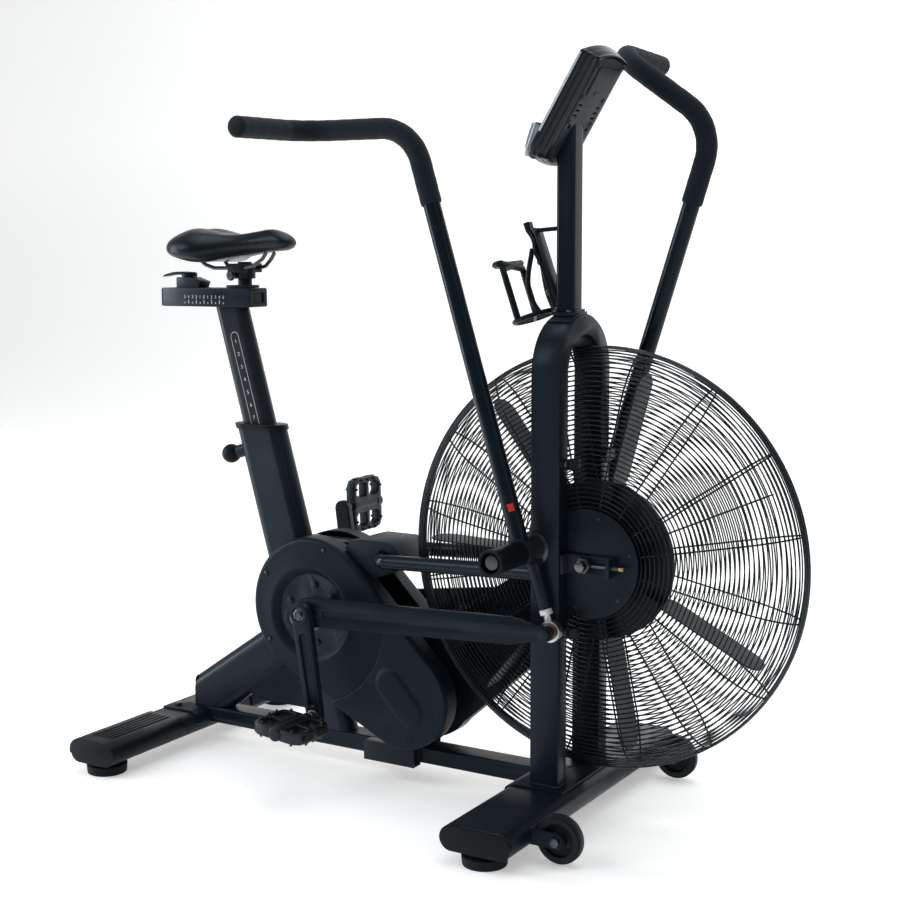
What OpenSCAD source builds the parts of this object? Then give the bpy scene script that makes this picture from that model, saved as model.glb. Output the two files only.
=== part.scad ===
// Air bike: fan-braked exercise bike with two swinging handles.
// Frame: +X towards the fan, +Y the rider's left, +Z up, floor at Z = 0, millimetres.

/* [Floor frame] */
// length of the front foot tube between its end caps
front_tube_l = 600; // [500:10:700]
// length of the rear foot tube between its end boots
rear_tube_l = 562; // [440:2:640]
// fore-aft width of the front flat-oval tube
front_tube_w = 122; // [90:1:140]
// height of both flat-oval tubes
foot_tube_h = 40; // [30:1:50]
// fore-aft width of the rear flat-oval tube
rear_tube_w = 98; // [70:1:110]
// height of the rubber feet
foot_h = 22; // [14:1:30]
// radius of the rubber feet
foot_r = 36; // [25:1:45]
// radius of the transport wheels
wheel_r = 37.7; // [30:0.1:50]

/* [Upright] */
// half width of the arch outside its legs
arch_half = 90; // [80:1:110]
// width of a leg across the bike
leg_w = 30; // [24:1:40]
// depth of a leg fore and aft
leg_d = 50; // [40:1:60]
// height where the arch starts to curve
arch_spring_z = 724; // [650:1:800]
// top of the console mast
mast_top_z = 1118; // [1000:1:1200]

/* [Drive] */
// crank length, axle to pedal spindle
crank_r = 168; // [160:1:180]
// throw of the handle link pin
throw_r = 43.5; // [35:0.5:55]
// direction of the right link pin from the axle
throw_a = 29; // [0:1:60]
// direction of the right pedal from the axle
crank_a = -67.5; // [-120:0.5:0]
// distance of the pedal centres from the middle plane
pedal_y = 206; // [190:1:212]
// tilt of the right pedal on its spindle
pedal_tilt_r = 6; // [-90:1:90]
// tilt of the left pedal on its spindle
pedal_tilt_l = 88; // [-90:1:90]
// radius of the large drive pulley
pulley_r = 106; // [96:1:108]
// radius of the small jackshaft pulley
jack_small_r = 26; // [20:1:34]
// radius of the large jackshaft pulley
jack_big_r = 75; // [60:1:80]
// radius of the fan pulley
fan_pulley_r = 38; // [30:1:46]

/* [Handles] */
// link length between its two pins
link_l = 461; // [440:0.5:480]
// handle pivot to rod end
rod_r = 131.6; // [110:0.1:150]
// handle pivot to the upper bend
arm_l = 692; // [640:1:740]
// distance of the handle tubes from the middle plane
arm_y = 126; // [116:1:132]
// inward lean of a handle between its hub and its bend
arm_in = 14; // [0:1:20]
// radius of the upper bend
knee_r = 80; // [60:1:90]
// radius of the bend towards the tip
tip_r = 58; // [40:1:64]
// radius of the handle tube
tube_r = 14; // [12:0.5:16]
// radius of the foam grip
foam_r = 17; // [16:0.5:22]

/* [Fan] */
// outer radius of the wire guard
cage_r = 340; // [300:1:360]
// tip radius of the fan blades
blade_tip_r = 308; // [260:1:312]
// number of fan blades
blade_n = 7; // [5:1:10]
// number of radial ribs on each guard half
rib_n = 8; // [6:1:12]
// width of a fan blade across the bike
blade_w = 60; // [40:1:62]
// turn of the first blade from level
blade_a = 24; // [0:1:51]

/* [Seat] */
// lean of the seat tube from vertical
seat_a = 15.6; // [10:0.1:20]
// fore-aft depth of the seat tube
seat_tube_d = 97; // [90:1:110]
// width of the seat tube
seat_tube_w = 46; // [40:1:56]
// fore-aft depth of the seat post
post_d = 65; // [60:1:80]
// width of the seat post
post_w = 34; // [28:1:36]
// half width of the saddle
saddle_half = 100; // [80:1:120]

/* [Hidden] */
$fn = 48;
front_x = 220;
rear_x = -567.5;
tube_z = foot_h + foot_tube_h / 2;
tube_top = foot_h + foot_tube_h;
plate_t = 3.5;
beam_x0 = rear_x;
beam_x1 = front_x;
crank_x = -256;
crank_z = 283;
jack_x = -65;
jack_z = 157;
fan_x = 283;
fan_z = 428;
pivot_x = 203;
pivot_z = 450;
leg_x0 = 198;
seat_x = -402;
seat_z = 602;
run = 0.06;
lobe_r = 127;
lobe_dx = 2;
lobe_dz = 9;
lobe2_r = 88;
cover_out = 62;
cover_in = 26;
bearing_y = 28.5;
web_y = 92;
link_y0 = 116.5;
link_y1 = 126.5;
arm_y0 = 129;
arm_y1 = 143;
// spindle, from inside the arm to past the pedal
pedal_mid = (arm_y1 + pedal_y + 43) / 2;
pedal_half = (pedal_y + 44 - arm_y1) / 2;
mast_x = 218;
console_deep = 24;
lower_y = 103.5;
plate_half = 105;
// middle of an arch leg
leg_y = arch_half - leg_w / 2;
rail_y = 66.5;
rail_r = 12.5;
rail_cross = [-112, 393.5];
rail_end_z = 407;
clip_z = [316, 586];
wheel_x = 320.5;
wheel_y = 222.5;
foot_front_y = 274;
foot_rear_y = 251;
cage_mid = -5;
cage_near = -56;
cage_far = 26;
black = [0.15, 0.17, 0.19];
plastic = [0.11, 0.12, 0.13];
steel = [0.7, 0.7, 0.72];
// true rod-end positions from the two circles of the link and the handle
pin_rx = crank_x + throw_r * cos(throw_a);
pin_rz = crank_z + throw_r * sin(throw_a);
pin_lx = crank_x - throw_r * cos(throw_a);
pin_lz = crank_z - throw_r * sin(throw_a);
dist_r = norm([pivot_x - pin_rx, pivot_z - pin_rz]);
dist_l = norm([pivot_x - pin_lx, pivot_z - pin_lz]);
cut_r = (rod_r * rod_r + dist_r * dist_r - link_l * link_l) / (2 * rod_r * dist_r);
cut_l = (rod_r * rod_r + dist_l * dist_l - link_l * link_l) / (2 * rod_r * dist_l);
dir_r = atan2(pin_rz - pivot_z, pin_rx - pivot_x) + acos(cut_r);
dir_l = atan2(pin_lz - pivot_z, pin_lx - pivot_x) + acos(cut_l);
// lean of each handle from vertical, forward positive
lean_r = -(dir_r + 90);
lean_l = -(dir_l + 90);
link_tilt_r = atan2(pivot_z + rod_r * sin(dir_r) - pin_rz, pivot_x + rod_r * cos(dir_r) - pin_rx);
link_tilt_l = atan2(pivot_z + rod_r * sin(dir_l) - pin_lz, pivot_x + rod_r * cos(dir_l) - pin_lx);

// ---- helpers ----

module rod(p, q, r) {
    d = q - p;
    l = norm(d);
    translate(p) rotate([0, acos(d[2] / l), atan2(d[1], d[0])]) cylinder(h = l, r = r);
}

module slab(y0, y1) {
    translate([0, y1, 0]) rotate([90, 0, 0]) linear_extrude(y1 - y0) children();
}

module pin_y(x, z, y0, y1, r) {
    translate([x, y1, z]) rotate([90, 0, 0]) cylinder(h = y1 - y0, r = r);
}

module oval(w, h) {
    square([w - h, h], center = true);
    translate([-(w - h) / 2, 0]) circle(r = h / 2);
    translate([(w - h) / 2, 0]) circle(r = h / 2);
}

module rrect(w, h, r) {
    square([w - 2 * r, h], center = true);
    square([w, h - 2 * r], center = true);
    for (i = [-1, 1])
        for (j = [-1, 1])
            translate([i * (w / 2 - r), j * (h / 2 - r)]) circle(r = r);
}

module strap2(x0, z0, r0, x1, z1, r1) {
    hull() {
        translate([x0, z0]) circle(r = r0);
        translate([x1, z1]) circle(r = r1);
    }
}

module hex_y(x, z, y0, y1, r) {
    translate([x, y1, z]) rotate([90, 0, 0]) cylinder(h = y1 - y0, r = r, $fn = 6);
}

module bend(p, u, v, r_bend, r) {
    c = u * v;
    a = acos(c);
    t = r_bend * tan(a / 2);
    n = (v - c * u) / norm(v - c * u);
    o = p - t * u + r_bend * n;
    w = cross(-n, u);
    multmatrix([[-n[0], u[0], w[0], o[0]], [-n[1], u[1], w[1], o[1]],
        [-n[2], u[2], w[2], o[2]], [0, 0, 0, 1]])
        rotate_extrude(angle = a) translate([r_bend, 0]) circle(r = r - 0.08);
}

// ---- floor frame ----

module front_oval(extra) {
    translate([front_x, tube_z]) oval(front_tube_w + 2 * extra, foot_tube_h + 2 * extra);
}

module rear_oval(extra) {
    translate([rear_x, tube_z]) oval(rear_tube_w + 2 * extra, foot_tube_h + 2 * extra);
}

module saddle_strip(is_front) {
    intersection() {
        difference() {
            if (is_front) front_oval(plate_t); else rear_oval(plate_t);
            if (is_front) front_oval(0.1); else rear_oval(0.1);
        }
        if (is_front) translate([front_x - 60, tube_z + 3]) square([104, 60]);
        else translate([rear_x - 34, tube_z + 3]) square([100, 60]);
    }
}

module bearing2d(o) {
    translate([jack_x, jack_z]) circle(r = 26 + o);
    translate([jack_x - 40 - o, 65 - o]) square([52 + 2 * o, 92 + o]);
}

// room for a jackshaft bearing plate in the covers
module bearing_slot(s) {
    slab(s * bearing_y - 4, s * bearing_y + 4) bearing2d(0.5);
}

module base_beam() {
    color(black) {
        difference() {
            translate([beam_x0, 0, 51]) rotate([90, 0, 90])
                linear_extrude(beam_x1 - beam_x0) rrect(44, 30, 4);
            translate([beam_x0 - 1, 0, 51]) rotate([90, 0, 90])
                linear_extrude(beam_x1 - beam_x0 + 2) rrect(39, 25, 3);
            slab(-40, 40) front_oval(0.1);
            slab(-40, 40) rear_oval(0.1);
        }
        slab(-plate_half, plate_half) saddle_strip(true);
        slab(-62, 62) saddle_strip(false);
        // mounting boxes and bearing plates for the jackshaft
        for (s = [-1, 1]) {
            difference() {
                translate([-104, s * 33.4, 49.5]) cube([103, 23.2, 33], center = true);
                translate([-104, s * 34.4, 49.5]) cube([105, 17, 27], center = true);
            }
            slab(s * bearing_y - 3.5, s * bearing_y + 3.5) difference() {
                bearing2d(0);
                translate([jack_x, jack_z]) circle(r = 10 + run);
            }
        }
    }
}

module front_stabilizer() {
    color(black) {
        difference() {
            slab(-front_tube_l / 2, front_tube_l / 2) front_oval(0);
            slab(-front_tube_l / 2 - 1, front_tube_l / 2 + 1) front_oval(-2.5);
        }
        // fork plates for the transport wheels
        for (s = [-1, 1])
            for (t = [-1, 1])
                slab(s * wheel_y + t * 14.25 - 2.25, s * wheel_y + t * 14.25 + 2.25) difference() {
                    union() {
                        translate([front_x + 40, 30]) square([wheel_x - front_x - 40, 24]);
                        translate([wheel_x, 42]) circle(r = 12);
                    }
                    front_oval(-0.5);
                    translate([wheel_x, 41]) circle(r = 5.1);
                }
    }
}

module rear_stabilizer() {
    color(black) difference() {
        slab(-rear_tube_l / 2, rear_tube_l / 2) rear_oval(0);
        slab(-rear_tube_l / 2 - 1, rear_tube_l / 2 + 1) rear_oval(-2.5);
    }
}

module front_caps() {
    color(plastic) for (s = [-1, 1]) {
        slab(s * (front_tube_l / 2 + 3.6) - 3.4, s * (front_tube_l / 2 + 3.6) + 3.4) front_oval(0);
        slab(s * (front_tube_l / 2 - 8) - 8.4, s * (front_tube_l / 2 - 8) + 8.4) difference() {
            front_oval(-2.8);
            front_oval(-5);
        }
    }
}

module rear_boots() {
    tread_in = 98;
    tread_l = rear_tube_l / 2 + 9 - tread_in;
    color(plastic) for (s = [-1, 1]) {
        // shell over the tube end with a closed outer wall
        slab(s * (tread_in + tread_l / 2) - tread_l / 2, s * (tread_in + tread_l / 2) + tread_l / 2)
            intersection() {
                difference() {
                    rear_oval(3);
                    rear_oval(0.2);
                }
                translate([rear_x - 60, tube_z - 6]) square([120, 60]);
            }
        slab(s * (rear_tube_l / 2 + 4.75) - 4.25, s * (rear_tube_l / 2 + 4.75) + 4.25) rear_oval(0.2);
        // ribs across the tread
        for (k = [-2:2])
            translate([rear_x + k * 10 - 2.5, s * (tread_in + 88) - 76, tube_top + 2.5]) cube([5, 152, 2]);
    }
}

module foot(neck_r) {
    cylinder(h = foot_h - 6, r1 = foot_r - 1.5, r2 = foot_r);
    translate([0, 0, foot_h - 6]) cylinder(h = 6, r = neck_r);
}

module feet() {
    color([0.07, 0.07, 0.07]) {
        for (s = [-1, 1]) {
            translate([front_x, s * foot_front_y, 0]) foot(24);
            translate([rear_x, s * foot_rear_y, 0]) foot(20);
        }
    }
}

module wheel(s) {
    translate([wheel_x, s * wheel_y, 41]) rotate([90, 0, 0]) rotate_extrude() {
        translate([wheel_r - 12, -10]) square([8, 20]);
        translate([wheel_r - 4, -6]) square([4, 12]);
        translate([9, -2.5]) square([20, 5]);
        translate([5 + run, -11.5]) square([8, 23]);
    }
}

module wheel_right() {
    color([0.12, 0.12, 0.12]) wheel(-1);
}

module wheel_left() {
    color([0.12, 0.12, 0.12]) wheel(1);
}

module frame_bolts() {
    color(steel) {
        for (s = [-1, 1]) {
            // transport wheel bolts
            pin_y(wheel_x, 41, s * wheel_y - 19.5, s * wheel_y + 19.5, 5);
            for (k = [-1, 1])
                hex_y(wheel_x, 41, s * wheel_y + k * 19.2 - 2.4, s * wheel_y + k * 19.2 + 2.4, 8);
            // rear saddle plate
            translate([rear_x - 14, s * 42, tube_top + plate_t]) cylinder(h = 5.5, r = 8, $fn = 6);
            // mast base plate
            for (k = [-1, 1])
                translate([mast_x + k * 12, s * 24.8, 819.6]) cylinder(h = 3.5, r = 4, $fn = 6);
            // guard clips on the legs
            for (z = clip_z)
                translate([leg_x0 + leg_d + 2.5, s * leg_y, z]) rotate([0, 90, 0])
                    cylinder(h = 5, r = 7, $fn = 6);
            // fan axle nuts
            difference() {
                hex_y(fan_x, fan_z, s * 75.8 - 5, s * 75.8 + 5, 13);
                pin_y(fan_x, fan_z, s * 75.8 - 6, s * 75.8 + 6, 8.1);
            }
            // chain-tension screws
            rod([fan_x + 14, s * leg_y, fan_z], [345, s * leg_y, fan_z], 3);
        }
    }
}

// ---- upright ----

module arch2d(o) {
    difference() {
        union() {
            translate([-arch_half + o, tube_top + plate_t + 0.1 - o])
                square([2 * (arch_half - o), arch_spring_z - tube_top - plate_t + o]);
            translate([0, arch_spring_z]) circle(r = arch_half - o, $fn = 96);
        }
        translate([-arch_half + leg_w - o, 0])
            square([2 * (arch_half - leg_w + o), arch_spring_z]);
        translate([0, arch_spring_z]) circle(r = arch_half - leg_w + o, $fn = 96);
    }
}

module arch_frame() {
    color(black) {
        difference() {
            translate([leg_x0, 0, 0]) rotate([90, 0, 90]) linear_extrude(leg_d) arch2d(0);
            translate([leg_x0 + 3, 0, 0]) rotate([90, 0, 90]) linear_extrude(leg_d - 6) arch2d(3);
        }
        // clip tabs that hold the guard
        for (s = [-1, 1])
            for (z = clip_z)
                translate([leg_x0 + leg_d, s * leg_y, z]) rotate([0, 90, 0]) cylinder(h = 2.5, r = 11);
    }
}

module mast() {
    color(black) difference() {
        union() {
            translate([mast_x, 0, 814.2]) linear_extrude(5.3) rrect(40, 58, 5);
            translate([mast_x, 0, 819]) linear_extrude(5) rrect(35, 41, 9);
            translate([mast_x, 0, 819]) linear_extrude(mast_top_z - 819) rrect(32, 38, 8);
        }
        translate([mast_x, 0, 812]) linear_extrude(mast_top_z) rrect(27, 33, 5.5);
        // slanted top, clear of the display wall
        tilt() translate([-60, -60, -11.4]) cube([300, 120, 100]);
    }
}

// one tube from the middle of the cross bar, round its bend, to the leg
module rail_path(s) {
    corner = [rail_cross[0], s * rail_y, rail_cross[1]];
    end = [leg_x0 + 1, s * leg_y, rail_end_z];
    u = [0, s, 0];
    v = (end - corner) / norm(end - corner);
    t = 24 * tan(acos(u * v) / 2);
    rod([rail_cross[0], -s * 0.5, rail_cross[1]], corner - (t - 0.5) * u, rail_r);
    bend(corner, u, v, 24, rail_r);
    rod(corner + (t - 0.5) * v, end, rail_r);
}

module side_rails() {
    color(black) {
        difference() {
            translate([-302, -20, 380]) cube([196, 40, 30]);
            translate([-303, -17, 383]) cube([196, 34, 24]);
            seat_cut(0.2);
        }
        for (s = [-1, 1]) difference() {
            rail_path(s);
            translate([leg_x0 - 0.1, -100, 380]) cube([30, 200, 60]);
        }
    }
}

module junction2d(o) {
    offset(delta = -o) polygon([[-190, 406], [-178, 419], [-160, 423.5], [-100, 423.5], [-90, 419],
        [-68, 396], [-92, 372], [-130, 357], [-168, 386]]);
}

module junction_cover() {
    color(plastic) difference() {
        slab(-46, 46) junction2d(0);
        slab(-43, 43) junction2d(2.5);
        translate([-200, -20.4, 379.6]) cube([60, 40.8, 30.8]);
        rod([rail_cross[0], -52, rail_cross[1]], [rail_cross[0], 52, rail_cross[1]], rail_r + 1);
    }
}

// ---- seat ----

post_o = -2.5;

module seat_axis() {
    translate([seat_x, 0, seat_z]) rotate([0, -seat_a, 0]) children();
}

module seat_cut(o) {
    seat_axis() translate([0, 0, -620]) linear_extrude(640) oval(seat_tube_d + 2 * o, seat_tube_w + 2 * o);
}

module seat_frame() {
    color(black) difference() {
        union() {
            seat_axis() translate([0, 0, -570]) linear_extrude(600) oval(seat_tube_d, seat_tube_w);
            // rear strut down to the rear foot tube
            translate([-567, 0, 62]) rotate([0, 90 - 34, 0]) translate([0, 0, -30])
                linear_extrude(330) oval(88, seat_tube_w);
            pin_y(crank_x, crank_z, -40, 40, 24);
            // boss of the height pin
            seat_axis() translate([-seat_tube_d / 2 + 4, 0, -33]) rotate([0, -90, 0]) cylinder(h = 20, r = 12);
            // gusset plates of the strut
            slab(-14, 14) polygon([[-404, 180], [-398, 262], [-340, 300], [-300, 200]]);
            slab(-18, 18) polygon([[-440, 112], [-330, 175], [-290, 175], [-290, 96], [-405, 96]]);
        }
        // hollow of the seat tube, closed at the beam
        seat_axis() translate([0, 0, -262]) linear_extrude(300) oval(seat_tube_d - 6, seat_tube_w - 6);
        translate([-700, -60, 598]) cube([500, 120, 100]);
        // hollow of the strut
        translate([-567, 0, 62]) rotate([0, 90 - 34, 0]) translate([0, 0, 20])
            linear_extrude(230) oval(82, seat_tube_w - 6);
        pin_y(crank_x, crank_z, -42, 42, 12.5 + run);
        seat_axis() translate([-seat_tube_d / 2 + 10, 0, -33]) rotate([0, -90, 0]) cylinder(h = 40, r = 6 + run);
        // seats on the beam and over the rear plate
        translate([-560, -60, -10]) cube([500, 120, 76.1]);
        translate([-700, -60, -10]) cube([160, 120, tube_top + 10 + plate_t + 0.1]);
        translate([-700, -60, 0]) cube([144, 120, 300]);
        slab(-60, 60) rear_oval(plate_t + 0.1);
    }
}

module seat_collar() {
    color(plastic) difference() {
        union() {
            intersection() {
                seat_axis() translate([0, 0, -40]) linear_extrude(80) oval(seat_tube_d + 6, seat_tube_w + 8);
                translate([-600, -60, 598.1]) cube([300, 120, 9.5]);
            }
            intersection() {
                seat_axis() translate([0, 0, -26]) linear_extrude(60) oval(seat_tube_d - 6.3, seat_tube_w - 6.3);
                translate([-600, -60, 540]) cube([300, 120, 62]);
            }
        }
        seat_axis() translate([post_o, 0, -60]) linear_extrude(120) oval(post_d + 0.6, post_w + 0.6);
    }
}

module pop_pin() {
    color(plastic) seat_axis() translate([-seat_tube_d / 2 - 16.4, 0, -33]) rotate([0, -90, 0]) {
        translate([0, 0, -29.6]) cylinder(h = 31.6, r = 6);
        cylinder(h = 8, r = 9);
        translate([0, 0, 19]) sphere(r = 17.5);
    }
}

module seat_post() {
    color([0.2, 0.21, 0.23]) seat_axis() difference() {
        translate([post_o, 0, -125]) linear_extrude(390) oval(post_d, post_w);
        translate([post_o + 2, 0, -130]) linear_extrude(330) oval(post_d - 24, post_w - 6);
        // groove and detent holes for the height pin
        translate([post_o - post_d / 2 - 2, -6.5, -118]) cube([7, 13, 262]);
        for (k = [0:6])
            translate([post_o - post_d / 2 - 2, 0, -92 + k * 30]) rotate([0, 90, 0]) cylinder(h = 20, r = 6.5);
        // flat under the rail
        rotate([0, seat_a, 0]) translate([-200, -100, 214.6]) cube([400, 200, 200]);
    }
}

rail_z0 = 817;
rail_z1 = 851;

module seat_rail() {
    color(black) {
        difference() {
            translate([-606, -26, rail_z0]) cube([196, 52, rail_z1 - rail_z0]);
            translate([-607, -22, rail_z0 + 5]) cube([198, 44, rail_z1 - rail_z0 - 9]);
            translate([-522, -8, rail_z1 - 6]) cube([108, 16, 10]);
        }
        // end plates
        translate([-608.5, -26, rail_z0]) cube([2.6, 52, rail_z1 - rail_z0]);
        translate([-410.1, -26, rail_z0]) cube([2.6, 52, rail_z1 - rail_z0]);
        // screw block of the clamp lever
        slab(-15, 15) polygon([[-584, rail_z1 - 2], [-584, rail_z1 + 19], [-550, rail_z1 + 19],
            [-526, rail_z1 + 11], [-532, rail_z1 - 2]]);
        translate([-564, 0, rail_z1 + 18]) cylinder(h = 9.4, r = 5);
    }
}

module seat_carriage() {
    color(steel) {
        translate([-469, -21.5, rail_z0 + 5.5]) cube([58, 43, rail_z1 - rail_z0 - 10]);
        translate([-462, -7.5, rail_z1 - 8]) cube([44, 15, 9]);
        translate([-462, -20, rail_z1 + 0.4]) cube([44, 40, 5]);
        translate([-434.5, 0, rail_z1 + 4]) cylinder(h = 43, r = 12.5);
    }
}

module rail_lever() {
    color(plastic) difference() {
        union() {
            translate([-564, 0, rail_z1 + 19.2]) cylinder(h = 8, r = 15);
            translate([-591, 0, rail_z1 + 19.4]) linear_extrude(7) rrect(64, 25, 8);
        }
        translate([-564, 0, rail_z1 + 5]) cylinder(h = 40, r = 5 + run);
    }
}

module saddle_clamp() {
    color([0.3, 0.3, 0.32]) difference() {
        union() {
            translate([-434.5, 0, 868]) cylinder(h = 22, r = 19);
            translate([-450, -30, 879]) cube([31, 60, 16]);
            rod([-447, -24, 874], [-447, 24, 874], 5);
        }
        translate([-434.5, 0, 800]) cylinder(h = 200, r = 12.6);
        for (s = [-1, 1])
            rod([-560, s * 22, 887], [-340, s * 22, 887], 3.7);
    }
}

module saddle_base() {
    color(plastic) {
        for (s = [-1, 1]) {
            rod([-512, s * 22, 887], [-412, s * 22, 887], 3.5);
            slab(s * 22 - 4.2, s * 22 + 4.2)
                polygon([[-504, 882], [-517, 882], [-538, 902], [-524, 902], [-504, 892]]);
            slab(s * 22 - 4.2, s * 22 + 4.2)
                polygon([[-417, 882], [-406, 882], [-388, 902], [-402, 902], [-417, 892]]);
        }
        translate([0, 0, 900]) linear_extrude(5)
            polygon([[-552, -62], [-540, -78], [-510, -78], [-392, -27], [-384, -14],
                [-384, 14], [-392, 27], [-510, 78], [-540, 78], [-552, 62]]);
    }
}

module saddle() {
    color([0.1, 0.1, 0.11]) intersection() {
        union() {
            hull() {
                for (s = [-1, 1])
                    translate([-526, s * (saddle_half - 46), 926]) scale([1, 1, 0.72]) sphere(r = 45, $fn = 36);
                translate([-440, 0, 925]) scale([1, 1, 0.66]) sphere(r = 40, $fn = 36);
            }
            hull() {
                translate([-460, 0, 925]) scale([1, 1, 0.7]) sphere(r = 42, $fn = 36);
                translate([-350, 0, 937]) scale([1, 1, 0.8]) sphere(r = 23, $fn = 36);
            }
        }
        translate([-700, -150, 905.4]) cube([500, 300, 200]);
    }
}

// ---- covers ----

module main2d(o) {
    strap2(crank_x + lobe_dx, crank_z + lobe_dz, lobe_r - o, jack_x, jack_z, lobe2_r - o);
}

module belt2d(o) {
    strap2(jack_x, jack_z, lobe2_r - 2 - o, fan_x, fan_z, 56 - o);
}

module cover_shell(y0, y1, face_y) {
    difference() {
        slab(y0, y1) main2d(0);
        slab(y0 - 1, y1 + 1) main2d(2.5);
    }
    slab(face_y - 1.25, face_y + 1.25) main2d(1);
}

module right_cover() {
    color(plastic) difference() {
        union() {
            cover_shell(-cover_out, -cover_in, -cover_out + 1.25);
            // deep ring around the crank opening
            difference() {
                pin_y(crank_x, crank_z, -cover_out, -cover_out + 5, 84);
                translate([crank_x, -cover_out - 0.1, crank_z]) rotate([-90, 0, 0])
                    cylinder(h = 5.3, r1 = 82, r2 = 70);
            }
        }
        translate([crank_x, -cover_out - 0.1, crank_z]) rotate([-90, 0, 0]) cylinder(h = 5.3, r1 = 82, r2 = 70);
        // service opening behind the lower panel
        slab(-cover_out - 1, -cover_out + 4) strap2(-78, 166, 52, -58, 150, 58);
        bearing_slot(-1);
    }
}

module panel2d() {
    intersection() {
        main2d(1.5);
        difference() {
            translate([-300, 0]) square([400, 300]);
            translate([crank_x, crank_z]) circle(r = 156);
        }
    }
}

module access_panel() {
    color(plastic) {
        slab(-cover_out - 3.5, -cover_out - 0.2) difference() {
            panel2d();
            for (p = [[-46, 91], [-93, 99], [-8, 140]])
                translate(p) circle(r = 4);
        }
        slab(-cover_out - 8, -cover_out - 3) strap2(-88, 182, 26, -48, 138, 26);
    }
}

module left_cover() {
    color(plastic) difference() {
        cover_shell(cover_in, cover_out, cover_out - 1.25);
        slab(0, 80) belt2d(-0.6);
        pin_y(crank_x, crank_z, 0, 80, 24);
        bearing_slot(1);
    }
}

module belt_cover() {
    color(plastic) {
        difference() {
            slab(cover_in + 2.5, 58.5) belt2d(0);
            slab(cover_in + 5, 56) belt2d(2.5);
            pin_y(fan_x, fan_z, 0, 80, 17);
            pin_y(jack_x, jack_z, 0, 40, 14);
            bearing_slot(1);
        }
    }
}

module cover_screws() {
    color(steel) {
        for (p = [[-46, 91], [-93, 99], [-8, 140]])
            pin_y(p[0], p[1], -cover_out - 2.6, -cover_out - 0.2, 3.8);
        for (a = [75, 150, 215])
            pin_y(crank_x + lobe_dx + 119.5 * cos(a), crank_z + lobe_dz + 119.5 * sin(a), -cover_out - 2, -cover_out, 4);
        for (a = [75, 150, 215])
            pin_y(crank_x + lobe_dx + 119.5 * cos(a), crank_z + lobe_dz + 119.5 * sin(a), cover_out, cover_out + 2, 4);
    }
}

// ---- crank ----

module crank_axle() {
    color(steel) {
        pin_y(crank_x, crank_z, -web_y - 12, web_y + 12, 12.5);
        // pulley flange
        pin_y(crank_x, crank_z, -60, -57.5, 30);
    }
}

module drive_pulley() {
    color([0.2, 0.2, 0.21]) {
        difference() {
            pin_y(crank_x, crank_z, -56, -42, pulley_r);
            pin_y(crank_x, crank_z, -58, -51, pulley_r - 10);
            pin_y(crank_x, crank_z, -47, -40, pulley_r - 10);
            pin_y(crank_x, crank_z, -60, -40, 12.6);
        }
        difference() {
            pin_y(crank_x, crank_z, -57.4, -41, 26);
            pin_y(crank_x, crank_z, -60, -40, 12.6);
        }
        for (a = [40, 85, 160, 220, 280, 340])
            hex_y(crank_x + 52 * cos(a), crank_z + 52 * sin(a), -54.5, -50.5, 6.5);
    }
}

module web(s) {
    px = (s < 0) ? pin_rx : pin_lx;
    pz = (s < 0) ? pin_rz : pin_lz;
    slab(s * (web_y + 6) - 6, s * (web_y + 6) + 6) difference() {
        strap2(crank_x, crank_z, 25, px, pz, 17);
        translate([crank_x, crank_z]) circle(r = 12.6);
        translate([px, pz]) circle(r = 9.1);
    }
}

module crank_web_right() {
    color(black) web(-1);
}

module crank_web_left() {
    color(black) web(1);
}

module crank_arm(s) {
    px = (s < 0) ? pin_rx : pin_lx;
    pz = (s < 0) ? pin_rz : pin_lz;
    qx = crank_x - s * crank_r * cos(crank_a);
    qz = crank_z - s * crank_r * sin(crank_a);
    slab(s * (arm_y0 + 7) - 7, s * (arm_y0 + 7) + 7) strap2(px, pz, 19, qx, qz, 15);
    pin_y(px, pz, s * (arm_y0 + web_y) / 2 - (arm_y0 - web_y) / 2, s * (arm_y0 + web_y) / 2 + (arm_y0 - web_y) / 2, 9);
    pin_y(qx, qz, s * pedal_mid - pedal_half, s * pedal_mid + pedal_half, 7);
}

module crank_arm_right() {
    color(black) crank_arm(-1);
}

module crank_arm_left() {
    color(black) crank_arm(1);
}

module pedal(s) {
    qx = crank_x - s * crank_r * cos(crank_a);
    qz = crank_z - s * crank_r * sin(crank_a);
    translate([qx, s * pedal_y, qz]) rotate([0, (s < 0) ? pedal_tilt_r : pedal_tilt_l, 0]) difference() {
        union() {
            difference() {
                translate([0, 0, -12]) linear_extrude(24) rrect(102, 92, 14);
                for (k = [-1, 1])
                    translate([k * 28, 0, -20]) linear_extrude(40) rrect(30, 72, 6);
            }
            rotate([90, 0, 0]) translate([0, 0, -46]) cylinder(h = 92, r = 13);
            for (k = [-1, 1])
                for (j = [-1, 0, 1])
                    translate([k * 46, j * 26, 11]) cylinder(h = 4, r = 4);
        }
        rotate([90, 0, 0]) translate([0, 0, -60]) cylinder(h = 120, r = 7 + run);
        for (k = [-1, 1])
            translate([k * 28, 0, 0]) rotate([90, 0, 0]) translate([0, 0, -60]) linear_extrude(120) rrect(24, 10, 4);
    }
}

module pedal_right() {
    color(plastic) pedal(-1);
}

module pedal_left() {
    color(plastic) pedal(1);
}

// ---- links and handles ----

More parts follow.
